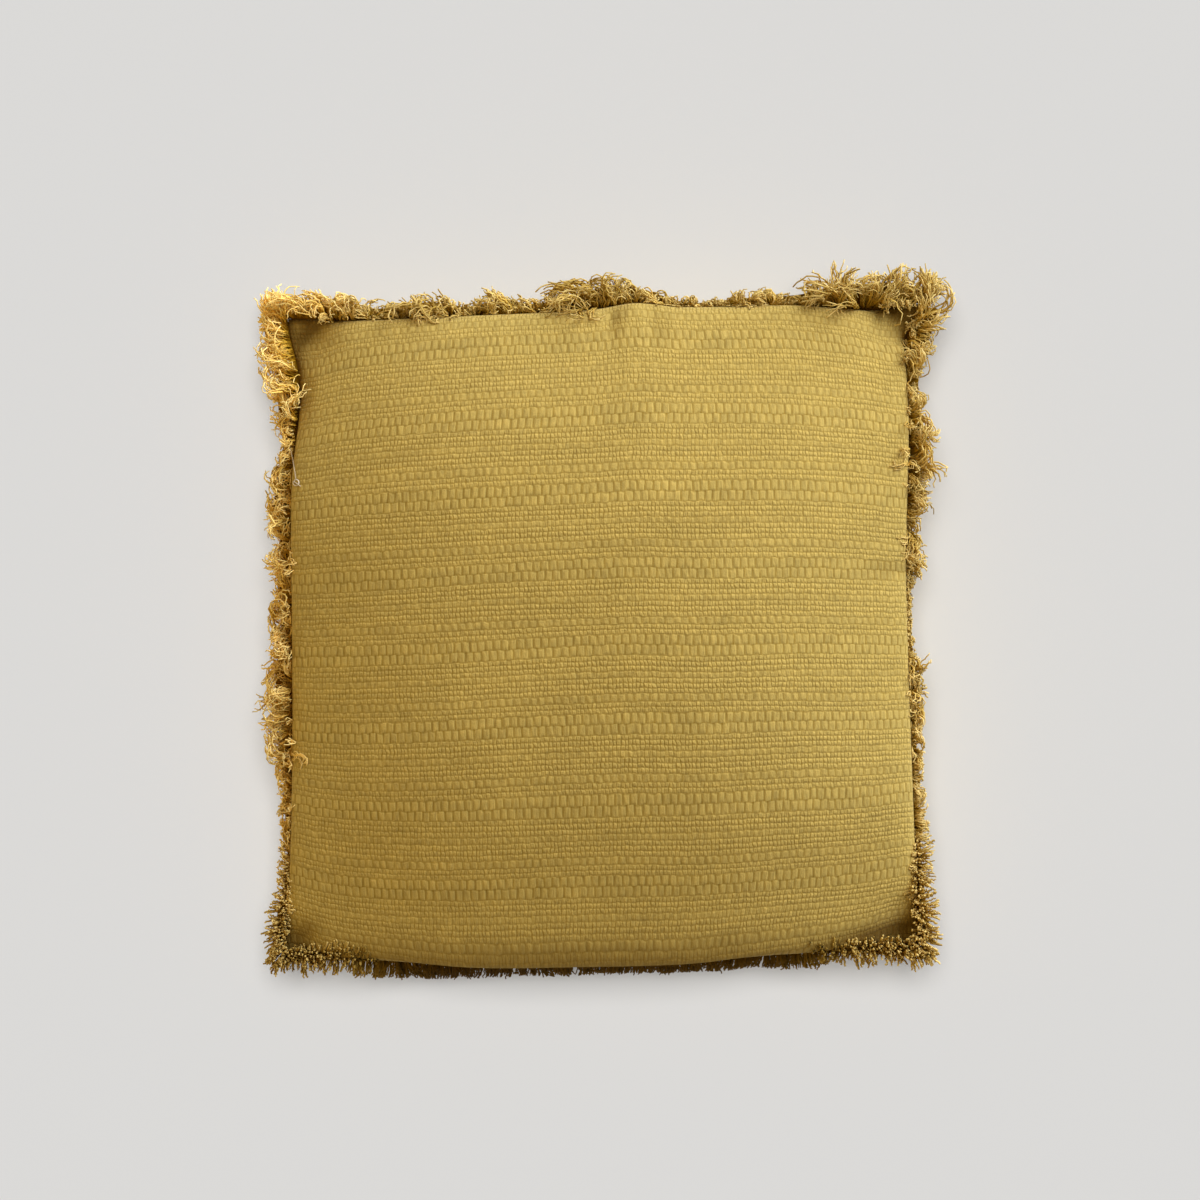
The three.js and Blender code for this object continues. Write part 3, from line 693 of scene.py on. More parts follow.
# Tufts of their own: side, along, half width, share of the yarns, slope at root and tip, length, share of the
# curl
ownTufts = (
    ("top", -0.555, 0.035, 0.5, 90, 150, 16, 0.7), ("top", -0.19, 0.03, 0.45, 85, 145, 14, 0.7),
    ("top", 0.215, 0.035, 0.5, 90, 155, 15, 0.7), ("top", -0.72, 0.03, 0.35, 80, 130, 12, 0.7),
    ("top", 0.94, 0.05, 0.5, 80, 140, 15, 0.8), ("right", 0.93, 0.05, 0.5, 80, 140, 15, 0.8),
    ("left", 0.42, 0.02, 0.25, 80, 130, 11, 0.7), ("right", 0.3, 0.02, 0.2, 80, 130, 11, 0.7),
)
yarn = {
    "count": 2750, "segments": 11, "radius": 0.43, "tipRadius": 0.37, "tubeSides": 3,
    # Roots: out from the seam and up and down, in mm. Yarns stop short of the corners by sideShare
    "rootOut": (0.0, 3.0), "rootHalfHeight": 1.0, "sideShare": 0.998,
    # Lower, middle and upper yarns: least and most reach as shares of the table's, slope over it at the root,
    # slope at the tip, and thickness
    "layers": ((0.8, 1.06, 5, -22, 1.35), (0.6, 0.98, 32, -30, 1.08), (0.38, 0.8, 70, -5, 0.92)),
    "plainSlope": 30, "slopeToTip": 0.6, "slopeLimits": (-75, 165), "slopePower": 0.8, "curlPower": 1.7,
    # Tufts of many yarns, with the locks of a few yarns in them
    "tuftStep": 16, "tuftFan": 26, "tuftFold": 70, "tuftCurl": 80, "tuftLean": 9, "tuftSlope": 8,
    "tuftReach": 0.12, "tuftRound": 0.22, "tuftMiddle": 0.35, "tuftLength": (0.7, 1.1),
    "lockStep": 4.5, "lockLean": 12, "lockCurl": 75, "lockSlope": 12, "lockReach": 0.12,
    # A lock's yarns are drawn together between root and tip, less at the tip and less up and down
    "lockPull": 0.45, "pullSpread": (0.3, 1.2), "pullAtTip": 0.35, "pullRun": 1.15, "pullPower": 0.8,
    "pullWays": (1, 1, 0.8),
    # Each yarn by itself
    "lean": 7, "curl": 26, "crimp": 0.6, "crimpUneven": 0.5, "crimpTurn": 2.0, "crimpStart": (3, 0.1),
    "shortest": 6, "longest": 46, "shortestOut": 2, "slack": 1.5, "mostStretch": 1.5, "leanShare": 0.85,
    "looseShare": 0.04, "looseReach": 1.06, "looseCurl": 110,
    "radiusSpread": (0.8, 1.2), "toneSpread": (0.75, 1.25), "taperStart": 0.8,
    # Waves along a yarn and along a lock: degrees, and least and most waves
    "sway": (20, 0.4, 2.2), "lockSway": (30, 0.4, 1.2), "turnSway": 1.3,
    "brushLean": -0.5, "brushRadius": 1.4, "brushCurl": (0.45, 0.15), "brushSlope": 15, "brushBend": 6,
    "brushLength": (0.9, 1), "straightTurn": 0.4,
    "cornerCrowd": 0.5, "cornerFan": 44, "cornerFanStart": 0.84, "cornerCalm": 0.6,
    "clear": 0.4, "floorClear": 0.6, "searchReach": 25, "edgeOn": 0.9,
}
# The woven strip under the yarns: its width is a share of the table's reach, from straight yarns to curled
strip = {
    # The strip's tone of 0.5, on top of the table's, is painted shade under the yarns, and it takes the
    # yarns' painted root shade
    "stations": 220, "ends": 0.004, "share": (0.42, 0.7), "curl": (0.3, 0.8), "tone": 0.5,
    "half": 1.2, "gap": 0.03, "ripple": 0.18, "endPitch": 2.68,
    # Its section: mm out, share of the width, and height
    "outline": ((0, 0, -0.7), (0.4, 0, -1), (-0.4, 1, -1), (0, 1, -0.6),
                (0, 1, 0.6), (-0.4, 1, 1), (0.4, 0, 1), (0, 0, 0.7)),
}


# The table's reach, slope, curl and tone at places along a side
def tuftCurves(name, along):
    return [tableCurve(tufts[name], column)(along) for column in (1, 2, 3, 4)]


def seamFrames(side):
    dense = np.linspace(-1, 1, 2001)
    line = seamPoint(side, dense)
    run = np.insert(np.cumsum(np.linalg.norm(np.diff(line, axis=0), axis=1)), 0, 0)
    tangent = np.gradient(line, axis=0)
    tangent[:, 2] = 0
    tangent /= np.linalg.norm(tangent, axis=1, keepdims=True)
    normal = np.stack([tangent[:, 1], -tangent[:, 0], np.zeros(len(line))], axis=1)
    normal *= np.sign(normal @ np.array([*side["outward"], 0.0]))[:, None]

    def at(share):
        spot = share * run[-1]
        return tuple(np.stack([np.interp(spot, run, block[:, k]) for k in range(3)], axis=-1)
                     for block in (line, tangent, normal))

    return at, run[-1]


# Even bundles along a side: each yarn's bundle, its place in it from -1 to 1, and four random numbers of the
# bundle
def bundle(random, share, length, step, layers, layer):
    edges = np.cumsum(random.uniform(0.5, 1.5, int(length / step)))
    edges = np.insert(edges / edges[-1], 0, 0)
    cell = np.clip(np.searchsorted(edges, share) - 1, 0, len(edges) - 2)
    spot = (share - edges[cell]) / (edges[cell + 1] - edges[cell]) * 2 - 1
    count = (len(edges) - 1) * layers
    number = cell * layers + layer
    return number, count, spot, [np.clip(random.normal(0, 1, count), -2, 2)[number] for _ in range(4)]


# What every yarn of a side is to be, before it is laid: place, length, slopes, turn and curl
def planYarns(name, random, length):
    count = yarn["count"]
    along = random.uniform(-1, 1, count)
    along = np.sort(along + yarn["cornerCrowd"] * along ** 3 * (1 - along ** 2)) * yarn["sideShare"]
    share = (along + 1) / 2
    layer = random.integers(0, 3, count)
    _, _, spot, tuft = bundle(random, share, length, yarn["tuftStep"], 1, 0)
    lock, lockCount, _, own = bundle(random, share, length, yarn["lockStep"], 3, layer)
    loose = random.uniform(0, 1, count) < yarn["looseShare"]
    reach, tableSlope, curlShare, tone = tuftCurves(name, along)
    least, most, over, tipSlope, thickness = np.array(yarn["layers"])[layer].T
    slope = tableSlope + over
    tipSlope = tipSlope + (tableSlope - yarn["plainSlope"]) * yarn["slopeToTip"]
    uneven = (tuft[1] * yarn["tuftSlope"] + own[1] * yarn["lockSlope"]) * curlShare

    corner = np.clip((np.abs(along) - yarn["cornerFanStart"]) / (1 - yarn["cornerFanStart"]), 0, 1)
    corner = corner * corner * (3 - 2 * corner)
    fan = np.sign(along) * yarn["cornerFan"] * corner
    turn = fan + spot * yarn["tuftFan"] + tuft[0] * yarn["tuftLean"] * (1 - yarn["cornerCalm"] * corner)
    turn += own[0] * yarn["lockLean"] + random.normal(0, 1, count) * yarn["lean"]
    reach = reach * (most - (most - least) * random.uniform(0, 1, count) * curlShare)
    reach *= 1 + (yarn["tuftReach"] * tuft[2] + yarn["lockReach"] * own[2]) * curlShare
    reach *= 1 + yarn["tuftRound"] * (yarn["tuftMiddle"] - spot * spot) * curlShare
    reach = np.where(loose, reach * yarn["looseReach"], reach)
    curl = -spot * yarn["tuftFold"] + tuft[3] * yarn["tuftCurl"] + own[3] * yarn["lockCurl"]
    curl += random.normal(0, 1, count) * np.where(loose, yarn["looseCurl"], yarn["curl"])
    yarnLength = np.clip(reach * yarn["slack"], yarn["shortest"], yarn["longest"])

    # Where the edge is a straight brush, its cut ends point every way from outwards to upwards
    mostCurl, fade = yarn["brushCurl"]
    straight = np.clip((mostCurl - curlShare) / fade, 0, 1)
    straight = straight * np.clip((tableSlope + yarn["brushSlope"]) / yarn["brushSlope"], 0, 1)
    brush = random.uniform(0, 1, count) < straight
    upright = np.degrees(np.arccos(random.uniform(yarn["brushLean"], 1, count)))
    slope = np.where(brush, upright, slope)
    tipSlope = np.where(brush, upright + yarn["brushBend"], tipSlope)
    yarnLength = np.where(brush, reach * random.uniform(*yarn["brushLength"], count), yarnLength)
    ownLong = brush.copy()
    for ownSide, place, width, portion, rootAngle, tipAngle, tuftLength, tuftCurl in ownTufts:
        if ownSide == name:
            chosen = random.uniform(0, 1, count) < portion * np.exp(-((along - place) / width) ** 4)
            ownLong |= chosen
            slope = np.where(chosen, rootAngle, slope)
            tipSlope = np.where(chosen, tipAngle, tipSlope)
            tuftYarn = tuftLength * random.uniform(*yarn["tuftLength"], count)
            yarnLength = np.where(chosen, tuftYarn, yarnLength)
            curlShare = np.where(chosen, tuftCurl, curlShare)
    turn = fan + (turn - fan) * (yarn["straightTurn"] + (1 - yarn["straightTurn"]) * curlShare)
    return SimpleNamespace(
        share=share, lock=lock, lockCount=lockCount, loose=loose, brush=brush, ownLong=ownLong,
        fan=fan, turn=turn, slope=slope, tipSlope=tipSlope, uneven=uneven, curl=curl, curlShare=curlShare,
        reach=reach, length=yarnLength, tone=tone, thickness=thickness)


def swayAngles(plan, random, middle):
    both = 0
    groups = ((yarn["sway"], np.arange(yarn["count"])), (yarn["lockSway"], plan.lock))
    for (size, least, most), members in groups:
        waves = random.uniform(least, most, yarn["count"])[members][:, None] * middle
        waves = waves + random.uniform(0, 1, yarn["count"])[members][:, None]
        both = both + size * np.sin(2 * math.pi * waves) * np.sqrt(middle)
    return both * plan.curlShare[:, None]


# Lays each yarn out from its root by its slopes and turns, as long as its reach asks for, whatever its curl
def walkYarns(plan, frames, random, steps):
    place, tangent, normal = frames
    count = yarn["count"]
    root = place + normal * random.uniform(*yarn["rootOut"], count)[:, None]
    root[:, 2] += random.uniform(-1, 1, count) * yarn["rootHalfHeight"]
    middle = (steps[1:] + steps[:-1]) / 2
    slopes = plan.slope[:, None] + (plan.tipSlope - plan.slope)[:, None] * middle ** yarn["slopePower"]
    slopes = slopes + plan.uneven[:, None] + swayAngles(plan, random, middle)
    slopes = np.radians(np.clip(slopes, *yarn["slopeLimits"]))
    turns = plan.turn[:, None] + (plan.curl * plan.curlShare)[:, None] * middle ** yarn["curlPower"]
    turns = np.radians(turns + yarn["turnSway"] * swayAngles(plan, random, middle))
    ways = (normal[:, None] * (np.cos(turns) * np.cos(slopes))[..., None]
            + tangent[:, None] * (np.sin(turns) * np.cos(slopes))[..., None]
            + np.array([0, 0, 1.0]) * np.sin(slopes)[..., None])
    walk = np.cumsum(ways * (plan.length / yarn["segments"])[:, None, None], axis=1)
    walk = np.concatenate([np.zeros((count, 1, 3)), walk], axis=1)
    start = np.einsum("ij,ij->i", root - place, normal)
    fanned = normal / np.maximum(np.cos(np.radians(plan.fan)), 0.6)[:, None]
    outward = np.einsum("ikj,ij->ik", walk, fanned).max(axis=1)
    outward = np.maximum(outward, np.linalg.norm(walk[..., :2], axis=2).max(axis=1) * yarn["leanShare"])
    wanted = np.maximum(plan.reach - start, yarn["shortestOut"]) / np.maximum(outward, 1)
    wanted = np.clip(wanted, yarn["shortest"] / plan.length,
                     np.minimum(yarn["longest"] / plan.length, yarn["mostStretch"]))
    walk *= np.where(plan.ownLong, 1, wanted)[:, None, None]
    return root[:, None] + walk, ways.mean(axis=1)


# Draws the yarns of a lock together between root and tip
def gatherLocks(points, plan, random, steps):
    members = np.maximum(np.bincount(plan.lock, minlength=plan.lockCount), 1)
    centre = np.empty((plan.lockCount, len(steps), 3))
    for step, axis in np.ndindex(len(steps), 3):
        centre[:, step, axis] = np.bincount(plan.lock, points[:, step, axis], plan.lockCount) / members
    pull = yarn["lockPull"] * random.uniform(*yarn["pullSpread"], yarn["count"]) * ~plan.loose
    gather = np.sin(math.pi * np.minimum(steps * yarn["pullRun"], 1) ** yarn["pullPower"])
    gather += yarn["pullAtTip"] * steps
    return (centre[plan.lock] - points) * (pull[:, None] * gather)[..., None] * np.array(yarn["pullWays"])


# The short kinks that the weave has left in each yarn
def crimpYarns(plan, meanWay, normal, random, steps):
    count = yarn["count"]
    size = yarn["crimp"] * (0.5 + 0.5 * plan.curlShare[:, None])
    size = size * (1 + yarn["crimpUneven"] * random.normal(0, 1, (count, len(steps))))
    growth, least = yarn["crimpStart"]
    size *= np.clip(steps * growth, least, 1) * np.where(np.arange(len(steps)) % 2 == 0, 1.0, -1.0)
    phase = random.uniform(0, 2 * math.pi, count)[:, None]
    phase = phase + steps * random.normal(0, yarn["crimpTurn"], count)[:, None]
    first = np.cross(meanWay, normal * 0.3 + np.array([0.2, 0.4, 1.0]))
    first /= np.maximum(np.linalg.norm(first, axis=1, keepdims=True), 1e-6)
    second = np.cross(normal, first)
    aside = first[:, None] * (np.cos(phase) * size)[..., None]
    return aside + second[:, None] * (np.sin(phase) * size)[..., None]


def growYarns(name):
    random = np.random.default_rng(sides[name]["seed"])
    at, length = seamFrames(sides[name])
    plan = planYarns(name, random, length)
    frames = at(plan.share)
    steps = np.linspace(0, 1, yarn["segments"] + 1)
    points, meanWay = walkYarns(plan, frames, random, steps)
    points += gatherLocks(points, plan, random, steps)
    points += crimpYarns(plan, meanWay, frames[2], random, steps)
    points[..., 2] = np.maximum(points[..., 2], yarn["floorClear"] + yarn["radius"])
    clearCover(points, yarn["clear"] + yarn["radius"])

    radius = np.interp(steps, [0, yarn["taperStart"], 1], [1, 1, yarn["tipRadius"] / yarn["radius"]])
    radius = radius * yarn["radius"] * random.uniform(*yarn["radiusSpread"], yarn["count"])[:, None]
    radius *= (plan.thickness * np.where(plan.brush, yarn["brushRadius"], 1))[:, None]
    # The yarn's tone: the table's painted light and shade of its side, times the yarn's own random tone
    tone = plan.tone * random.uniform(*yarn["toneSpread"], yarn["count"])
    return points, radius, random.uniform(0, 2 * math.pi, yarn["count"]), tone, steps


# Lifts yarn points that would run into the cover out to its surface. A point whose nearest spot lies on a
# sharp edge is outside, and only moves straight away from it.
def clearCover(points, clearance):
    flat = points.reshape(-1, 3)
    for number, point in enumerate(flat):
        spot, way, _, distance = sewn.find_nearest(point * mm, (clearance + yarn["searchReach"]) * mm)
        if spot is None:
            continue
        away = Vector(point * mm) - spot
        offset = away.dot(way)
        if abs(offset) < yarn["edgeOn"] * distance:
            if distance < clearance * mm:
                flat[number] = np.array(spot + away * (clearance * mm / distance)) / mm
        elif offset < clearance * mm:
            flat[number] = np.array(spot + way * clearance * mm) / mm


# Rings of points round each yarn. Where neighbouring points coincide, the way from root to tip stands in.
def yarnSection(points, radius, roll):
    way = np.gradient(points, axis=1) + (points[:, -1:] - points[:, :1]) * 0.01 + np.array([0, 0, 1e-6])
    way /= np.maximum(np.linalg.norm(way, axis=2, keepdims=True), 1e-9)
    helper = np.where(np.abs(way[..., 2:3]) < 0.9, np.array([0.0, 0.0, 1.0]), np.array([1.0, 0.0, 0.0]))
    across = np.cross(way, helper)
    across /= np.linalg.norm(across, axis=2, keepdims=True)
    raised = np.cross(across, way)
    angle = roll[:, None, None] + np.arange(yarn["tubeSides"]) * 2 * math.pi / yarn["tubeSides"]
    ring = (across[:, :, None] * np.cos(angle)[..., None] + raised[:, :, None] * np.sin(angle)[..., None])
    return points[:, :, None] + ring * radius[:, :, None, None]


def stripRings(name):
    at, length = seamFrames(sides[name])
    share = np.linspace(strip["ends"], 1 - strip["ends"], strip["stations"] + 1)
    place, _, normal = at(share)
    ripple = strip["ripple"] * np.sin(share * length / strip["endPitch"] * math.pi)
    reach, _, curlShare, tone = tuftCurves(name, share * 2 - 1)
    width = reach * np.interp(curlShare, strip["curl"], strip["share"])
    rings = np.stack([
        place + normal * (strip["gap"] + out + width * far)[:, None]
        + np.array([0, 0, 1.0]) * (strip["half"] * high + ripple * np.sign(high))[:, None]
        for out, far, high in strip["outline"]], axis=1)
    return rings, np.repeat(tone * strip["tone"], len(strip["outline"]))


# Faces of a closed tube, by ring and corner
def tubeFaces(segments, tubeSides):
    faces = []
    for ring in range(segments):
        for corner in range(tubeSides):
            a, b = ring * tubeSides + corner, ring * tubeSides + (corner + 1) % tubeSides
            faces += [(a, b, b + tubeSides), (a, b + tubeSides, a + tubeSides)]
    end = segments * tubeSides
    faces += [(0, k + 1, k) for k in range(1, tubeSides - 1)]
    faces += [(end, end + k, end + k + 1) for k in range(1, tubeSides - 1)]
    return np.array(faces)


def addYarnPiece(name, points, faces, run, tone):
    mesh = bpy.data.meshes.new(name)
    mesh.from_pydata((points * mm).tolist(), [], faces.tolist())
    addAttribute(mesh, "yarnRun", run)
    addAttribute(mesh, "yarnToneAndPaintedLight", tone)
    mesh.polygons.foreach_set("use_smooth", np.ones(len(mesh.polygons), bool))
    piece = bpy.data.objects.new(name, mesh)
    bpy.context.scene.collection.objects.link(piece)
    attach(piece, "root")
    return piece


def addFringe(name):
    points, radius, roll, tone, steps = growYarns(name)
    tubes = yarnSection(points, radius, roll)
    count, rings, tubeSides, _ = tubes.shape
    oneYarn = tubeFaces(rings - 1, tubeSides)[:, ::-1]
    faces = (oneYarn[None] + (np.arange(count) * rings * tubeSides)[:, None, None]).reshape(-1, 3)
    stripPoints, stripTone = stripRings(name)
    stripFaces = tubeFaces(len(stripPoints) - 1, len(strip["outline"]))
    if name in ("right", "bottom"):
        stripFaces = stripFaces[:, ::-1]
    run = np.broadcast_to(steps[None, :, None], (count, rings, tubeSides)).ravel()
    piece = addYarnPiece(
        f"frayed.{name}", np.concatenate([tubes.reshape(-1, 3), stripPoints.reshape(-1, 3)]),
        np.concatenate([faces, stripFaces + count * rings * tubeSides]),
        np.concatenate([run, np.zeros(len(stripTone))]),
        np.concatenate([np.repeat(tone, rings * tubeSides), stripTone]))
    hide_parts(f"fringe_{name}")
    return piece


# One pale sewing thread that has worked loose at the left seam and ends in a small loop
looseEnd = {
    "start": (-212.5, 124, 62), "bend": (-209, 112, 68), "loop": (-207.4, 100, 67), "tail": (-204, 97.5, 67),
    "loopRadius": 2.0, "turns": 1.15, "loopRise": 0.6, "radius": 0.45,
    "leadPoints": 12, "loopPoints": 22, "tailPoints": 5,
    "above": 300,  # mm from which it is laid on the cover
}


def addLooseThread():
    start, bend, loop, tail = (np.array(looseEnd[key], float) for key in ("start", "bend", "loop", "tail"))
    run = np.linspace(0, 1, looseEnd["leadPoints"])[:, None]
    angle = math.pi / 2 + np.linspace(0, looseEnd["turns"], looseEnd["loopPoints"]) * 2 * math.pi
    rise = np.linspace(0, looseEnd["loopRise"], looseEnd["loopPoints"])
    ring = np.stack([np.cos(angle), np.sin(angle), rise], axis=1) * looseEnd["loopRadius"] + loop
    lead = start * (1 - run) ** 2 + bend * 2 * run * (1 - run) + ring[0] * run ** 2
    end = ring[-1] + (tail - ring[-1]) * np.linspace(0, 1, looseEnd["tailPoints"])[:, None]
    points = np.concatenate([lead[:-1], ring[:-1], end])[None]
    for point in points[0]:
        spot = sewn.ray_cast(Vector((point[0], point[1], looseEnd["above"])) * mm, Vector((0, 0, -1)))[0]
        if spot is not None:
            point[2] = spot.z / mm + 2 * looseEnd["radius"]
    count = points.shape[1]
    tube = yarnSection(points, np.full((1, count), looseEnd["radius"]), np.zeros(1))
    return addYarnPiece("looseThread", tube.reshape(-1, 3), tubeFaces(count - 1, yarn["tubeSides"])[:, ::-1],
                        np.repeat(np.linspace(0, 1, count), yarn["tubeSides"]),
                        np.ones(count * yarn["tubeSides"]))


fringes = {name: addFringe(name) for name in sides}
looseThread = addLooseThread()
print("fringes grown", [len(piece.data.polygons) for piece in fringes.values()])

# Finishes
clothFinish = {
    # deep is the painted shade color of the seams, corner hollows, folds and the underside of the bottom's
    # bulge
    "top": (0.575, 0.4, 0.1), "gap": (0.26, 0.145, 0.006), "deep": (0.13, 0.065, 0.004),
    # How far painted shade darkens the slots between bars and the lines between rows, on thin and on thick
    # picks
    "paintedSlotShade": (0.54, 0.56), "paintedLineShade": (0.26, 0.42), "thickDarker": 0.07, "paintedShadeDepth": 0.85,
    # Waver of the yarns: noise scale, sideways on thin and thick picks, and up and down
    "waverScale": 0.45, "waver": (1.0, 0.55), "waverUp": 0.5,
    # From slot to top along a pick, as heights of a wave from -1 to 1: bumps and bars on thin picks with
    # the share of the bumps, and bars on thick picks as tone and as height
    "thinBump": (1.0, 0.15), "thinBar": (-0.9, 0.9), "bumpShare": 0.85,
    "thickBar": (-1.0, -0.45), "thickBarHeight": (-1.0, 0.3),
    # From a pick's edge to its full tone and height, 0 being its middle line and 1 its edge: start, end on
    # thin picks, and what a thick pick adds to that end
    "pickTone": (1.05, 0.55, 0.15), "pickHeight": (1.04, 0.2, 0.35),
    "patchy": (0.1, 0.5),  # where the waver's noise is low, the slots fade
    # Uneven tone: by cell, by slub and by row, and of the strands in a yarn
    "cellUneven": 0.12, "slubUneven": 0.2, "rowUneven": 0.04, "strandUneven": 0.45,
    "slubStretch": (0.07, 0.9, 1), "strandStretch": (1.3, 1.2, 1), "mottle": 0.16, "fibre": 0.35,
    "bump": 0.62, "bumpHeight": 0.0008, "thickHeight": 0.45, "strandHeight": 0.8, "fibreHeight": 0.3,
    "roughness": 0.9, "specular": 0.12, "sheen": 0.1, "sheenRoughness": 0.5, "sheenTint": (1.0, 0.9, 0.6),
}
# root is painted shade down in the fringe, tip is painted light on the ends, deep is the painted shade color
yarnFinish = {
    "root": (0.30, 0.145, 0.003), "middle": (0.62, 0.37, 0.036), "tip": (0.86, 0.63, 0.22),
    "deep": (0.07, 0.028, 0.0005),
    "roughness": 0.9, "specular": 0.06, "sheen": 0.04, "sheenRoughness": 0.5, "sheenTint": (1.0, 0.85, 0.4),
}
# The loose thread gets the same painted shade at its root and painted light at its tip
threadFinish = {
    "root": (0.62, 0.48, 0.28), "middle": (0.78, 0.64, 0.44), "tip": (0.85, 0.72, 0.54),
    "deep": (0.3, 0.2, 0.08),
    "roughness": 0.8, "specular": 0.06, "sheen": 0.1, "sheenRoughness": 0.5, "sheenTint": (1.0, 0.95, 0.85),
}
# Along a loose yarn: how soon the painted shade of the root ends, where the painted light of the pale tip
# starts, and its cotton and bump
yarnShading = {
    "rootEnd": 2.2, "tipRise": 1.6, "tipStart": -0.5, "mottle": 0.2, "fibre": 0.4,
    "bump": 0.4, "bumpHeight": 0.0003,
}
cottonNoise = {"broadScale": 22, "fineScale": 1500, "detail": 3}


def addNode(tree, kind, **values):
    node = tree.nodes.new(kind)
    for key, value in values.items():
        setattr(node, key, value)
    return node


# Gives a socket a number, a color or another node's output
def feed(tree, socket, value):
    if isinstance(value, (int, float)):
        socket.default_value = value
    elif isinstance(value, tuple):
        socket.default_value = (*value, 1) if len(socket.default_value) == 4 else value
    else:
        tree.links.new(value, socket)


def calc(tree, operation, *values):
    node = addNode(tree, "ShaderNodeMath", operation=operation)
    for socket, value in zip(node.inputs, values):
        feed(tree, socket, value)
    return node.outputs[0]


# The sums that the materials use most, for one tree: add, subtract, multiply, and multiply and add
def sums(tree):
    return [lambda *values, operation=operation: calc(tree, operation, *values)
            for operation in ("ADD", "SUBTRACT", "MULTIPLY", "MULTIPLY_ADD")]


def mixColors(tree, share, first, second):
    node = addNode(tree, "ShaderNodeMix", data_type="RGBA")
    for place, value in ((0, share), (6, first), (7, second)):
        feed(tree, node.inputs[place], value)
    return node.outputs[2]


def rangeMask(tree, value, start, end):
    node = addNode(tree, "ShaderNodeMapRange", interpolation_type="SMOOTHSTEP")
    for key, given in (("Value", value), ("From Min", start), ("From Max", end)):
        feed(tree, node.inputs[key], given)
    return node.outputs[0]


def scaleVector(tree, vector, size):
    by = "MULTIPLY" if isinstance(size, tuple) else "SCALE"
    node = addNode(tree, "ShaderNodeVectorMath", operation=by)
    feed(tree, node.inputs[0], vector)
    feed(tree, node.inputs[1] if by == "MULTIPLY" else node.inputs["Scale"], size)
    return node.outputs[0]


def addNoise(tree, vector, scale, detail, dimensions="3D"):
    node = addNode(tree, "ShaderNodeTexNoise", noise_dimensions=dimensions)
    for key, value in (("Vector", vector), ("Scale", scale), ("Detail", detail)):
        feed(tree, node.inputs[key], value)
    return node.outputs


def readAttribute(tree, name):
    return addNode(tree, "ShaderNodeAttribute", attribute_name=name).outputs["Fac"]


# Fine fibres and slow changes of tone that every cotton yarn here shows
def makeCottonGroup():
    tree = bpy.data.node_groups.new("cottonTone", "ShaderNodeTree")
    for label, kind in (("Vector", "Vector"), ("Color", "Color"), ("Mottle", "Float"), ("Fibre", "Float")):
        tree.interface.new_socket(name=label, in_out="INPUT", socket_type=f"NodeSocket{kind}")
    for label, kind in (("Color", "Color"), ("Height", "Float")):
        tree.interface.new_socket(name=label, in_out="OUTPUT", socket_type=f"NodeSocket{kind}")
    given, put = tree.nodes.new("NodeGroupInput").outputs, tree.nodes.new("NodeGroupOutput").inputs
    add, subtract, multiply, _ = sums(tree)
    broad = addNoise(tree, given["Vector"], cottonNoise["broadScale"], cottonNoise["detail"])["Fac"]
    fine = addNoise(tree, given["Vector"], cottonNoise["fineScale"], cottonNoise["detail"])["Fac"]
    slow = multiply(subtract(broad, 0.5), given["Mottle"])
    quick = multiply(subtract(fine, 0.5), given["Fibre"])
    feed(tree, put["Color"], scaleVector(tree, given["Color"], add(add(slow, quick), 1.0)))
    feed(tree, put["Height"], fine)
    return tree


# Gives a material its cotton color, and the cotton's own height for its bump
def placeCotton(tree, cotton, shader, color, mottle, fibre):
    node = addNode(tree, "ShaderNodeGroup", node_tree=cotton)
    place = addNode(tree, "ShaderNodeTexCoord").outputs["Object"]
    for key, value in (("Vector", place), ("Color", color), ("Mottle", mottle), ("Fibre", fibre)):
        feed(tree, node.inputs[key], value)
    feed(tree, shader.inputs["Base Color"], node.outputs["Color"])
    return node.outputs["Height"]


def addBump(tree, shader, height, finish):
    bump = addNode(tree, "ShaderNodeBump")
    for key, value in (("Height", height), ("Strength", finish["bump"]), ("Distance", finish["bumpHeight"])):
        feed(tree, bump.inputs[key], value)
    feed(tree, shader.inputs["Normal"], bump.outputs[0])


def newMaterial(name, finish):
    material = bpy.data.materials.new(name)
    material.use_nodes = True
    shader = material.node_tree.nodes["Principled BSDF"]
    sockets = {"Roughness": "roughness", "Specular IOR Level": "specular", "Sheen Weight": "sheen",
               "Sheen Roughness": "sheenRoughness", "Sheen Tint": "sheenTint"}
    for socket, value in sockets.items():
        feed(material.node_tree, shader.inputs[socket], finish[value])
    return material, material.node_tree, shader
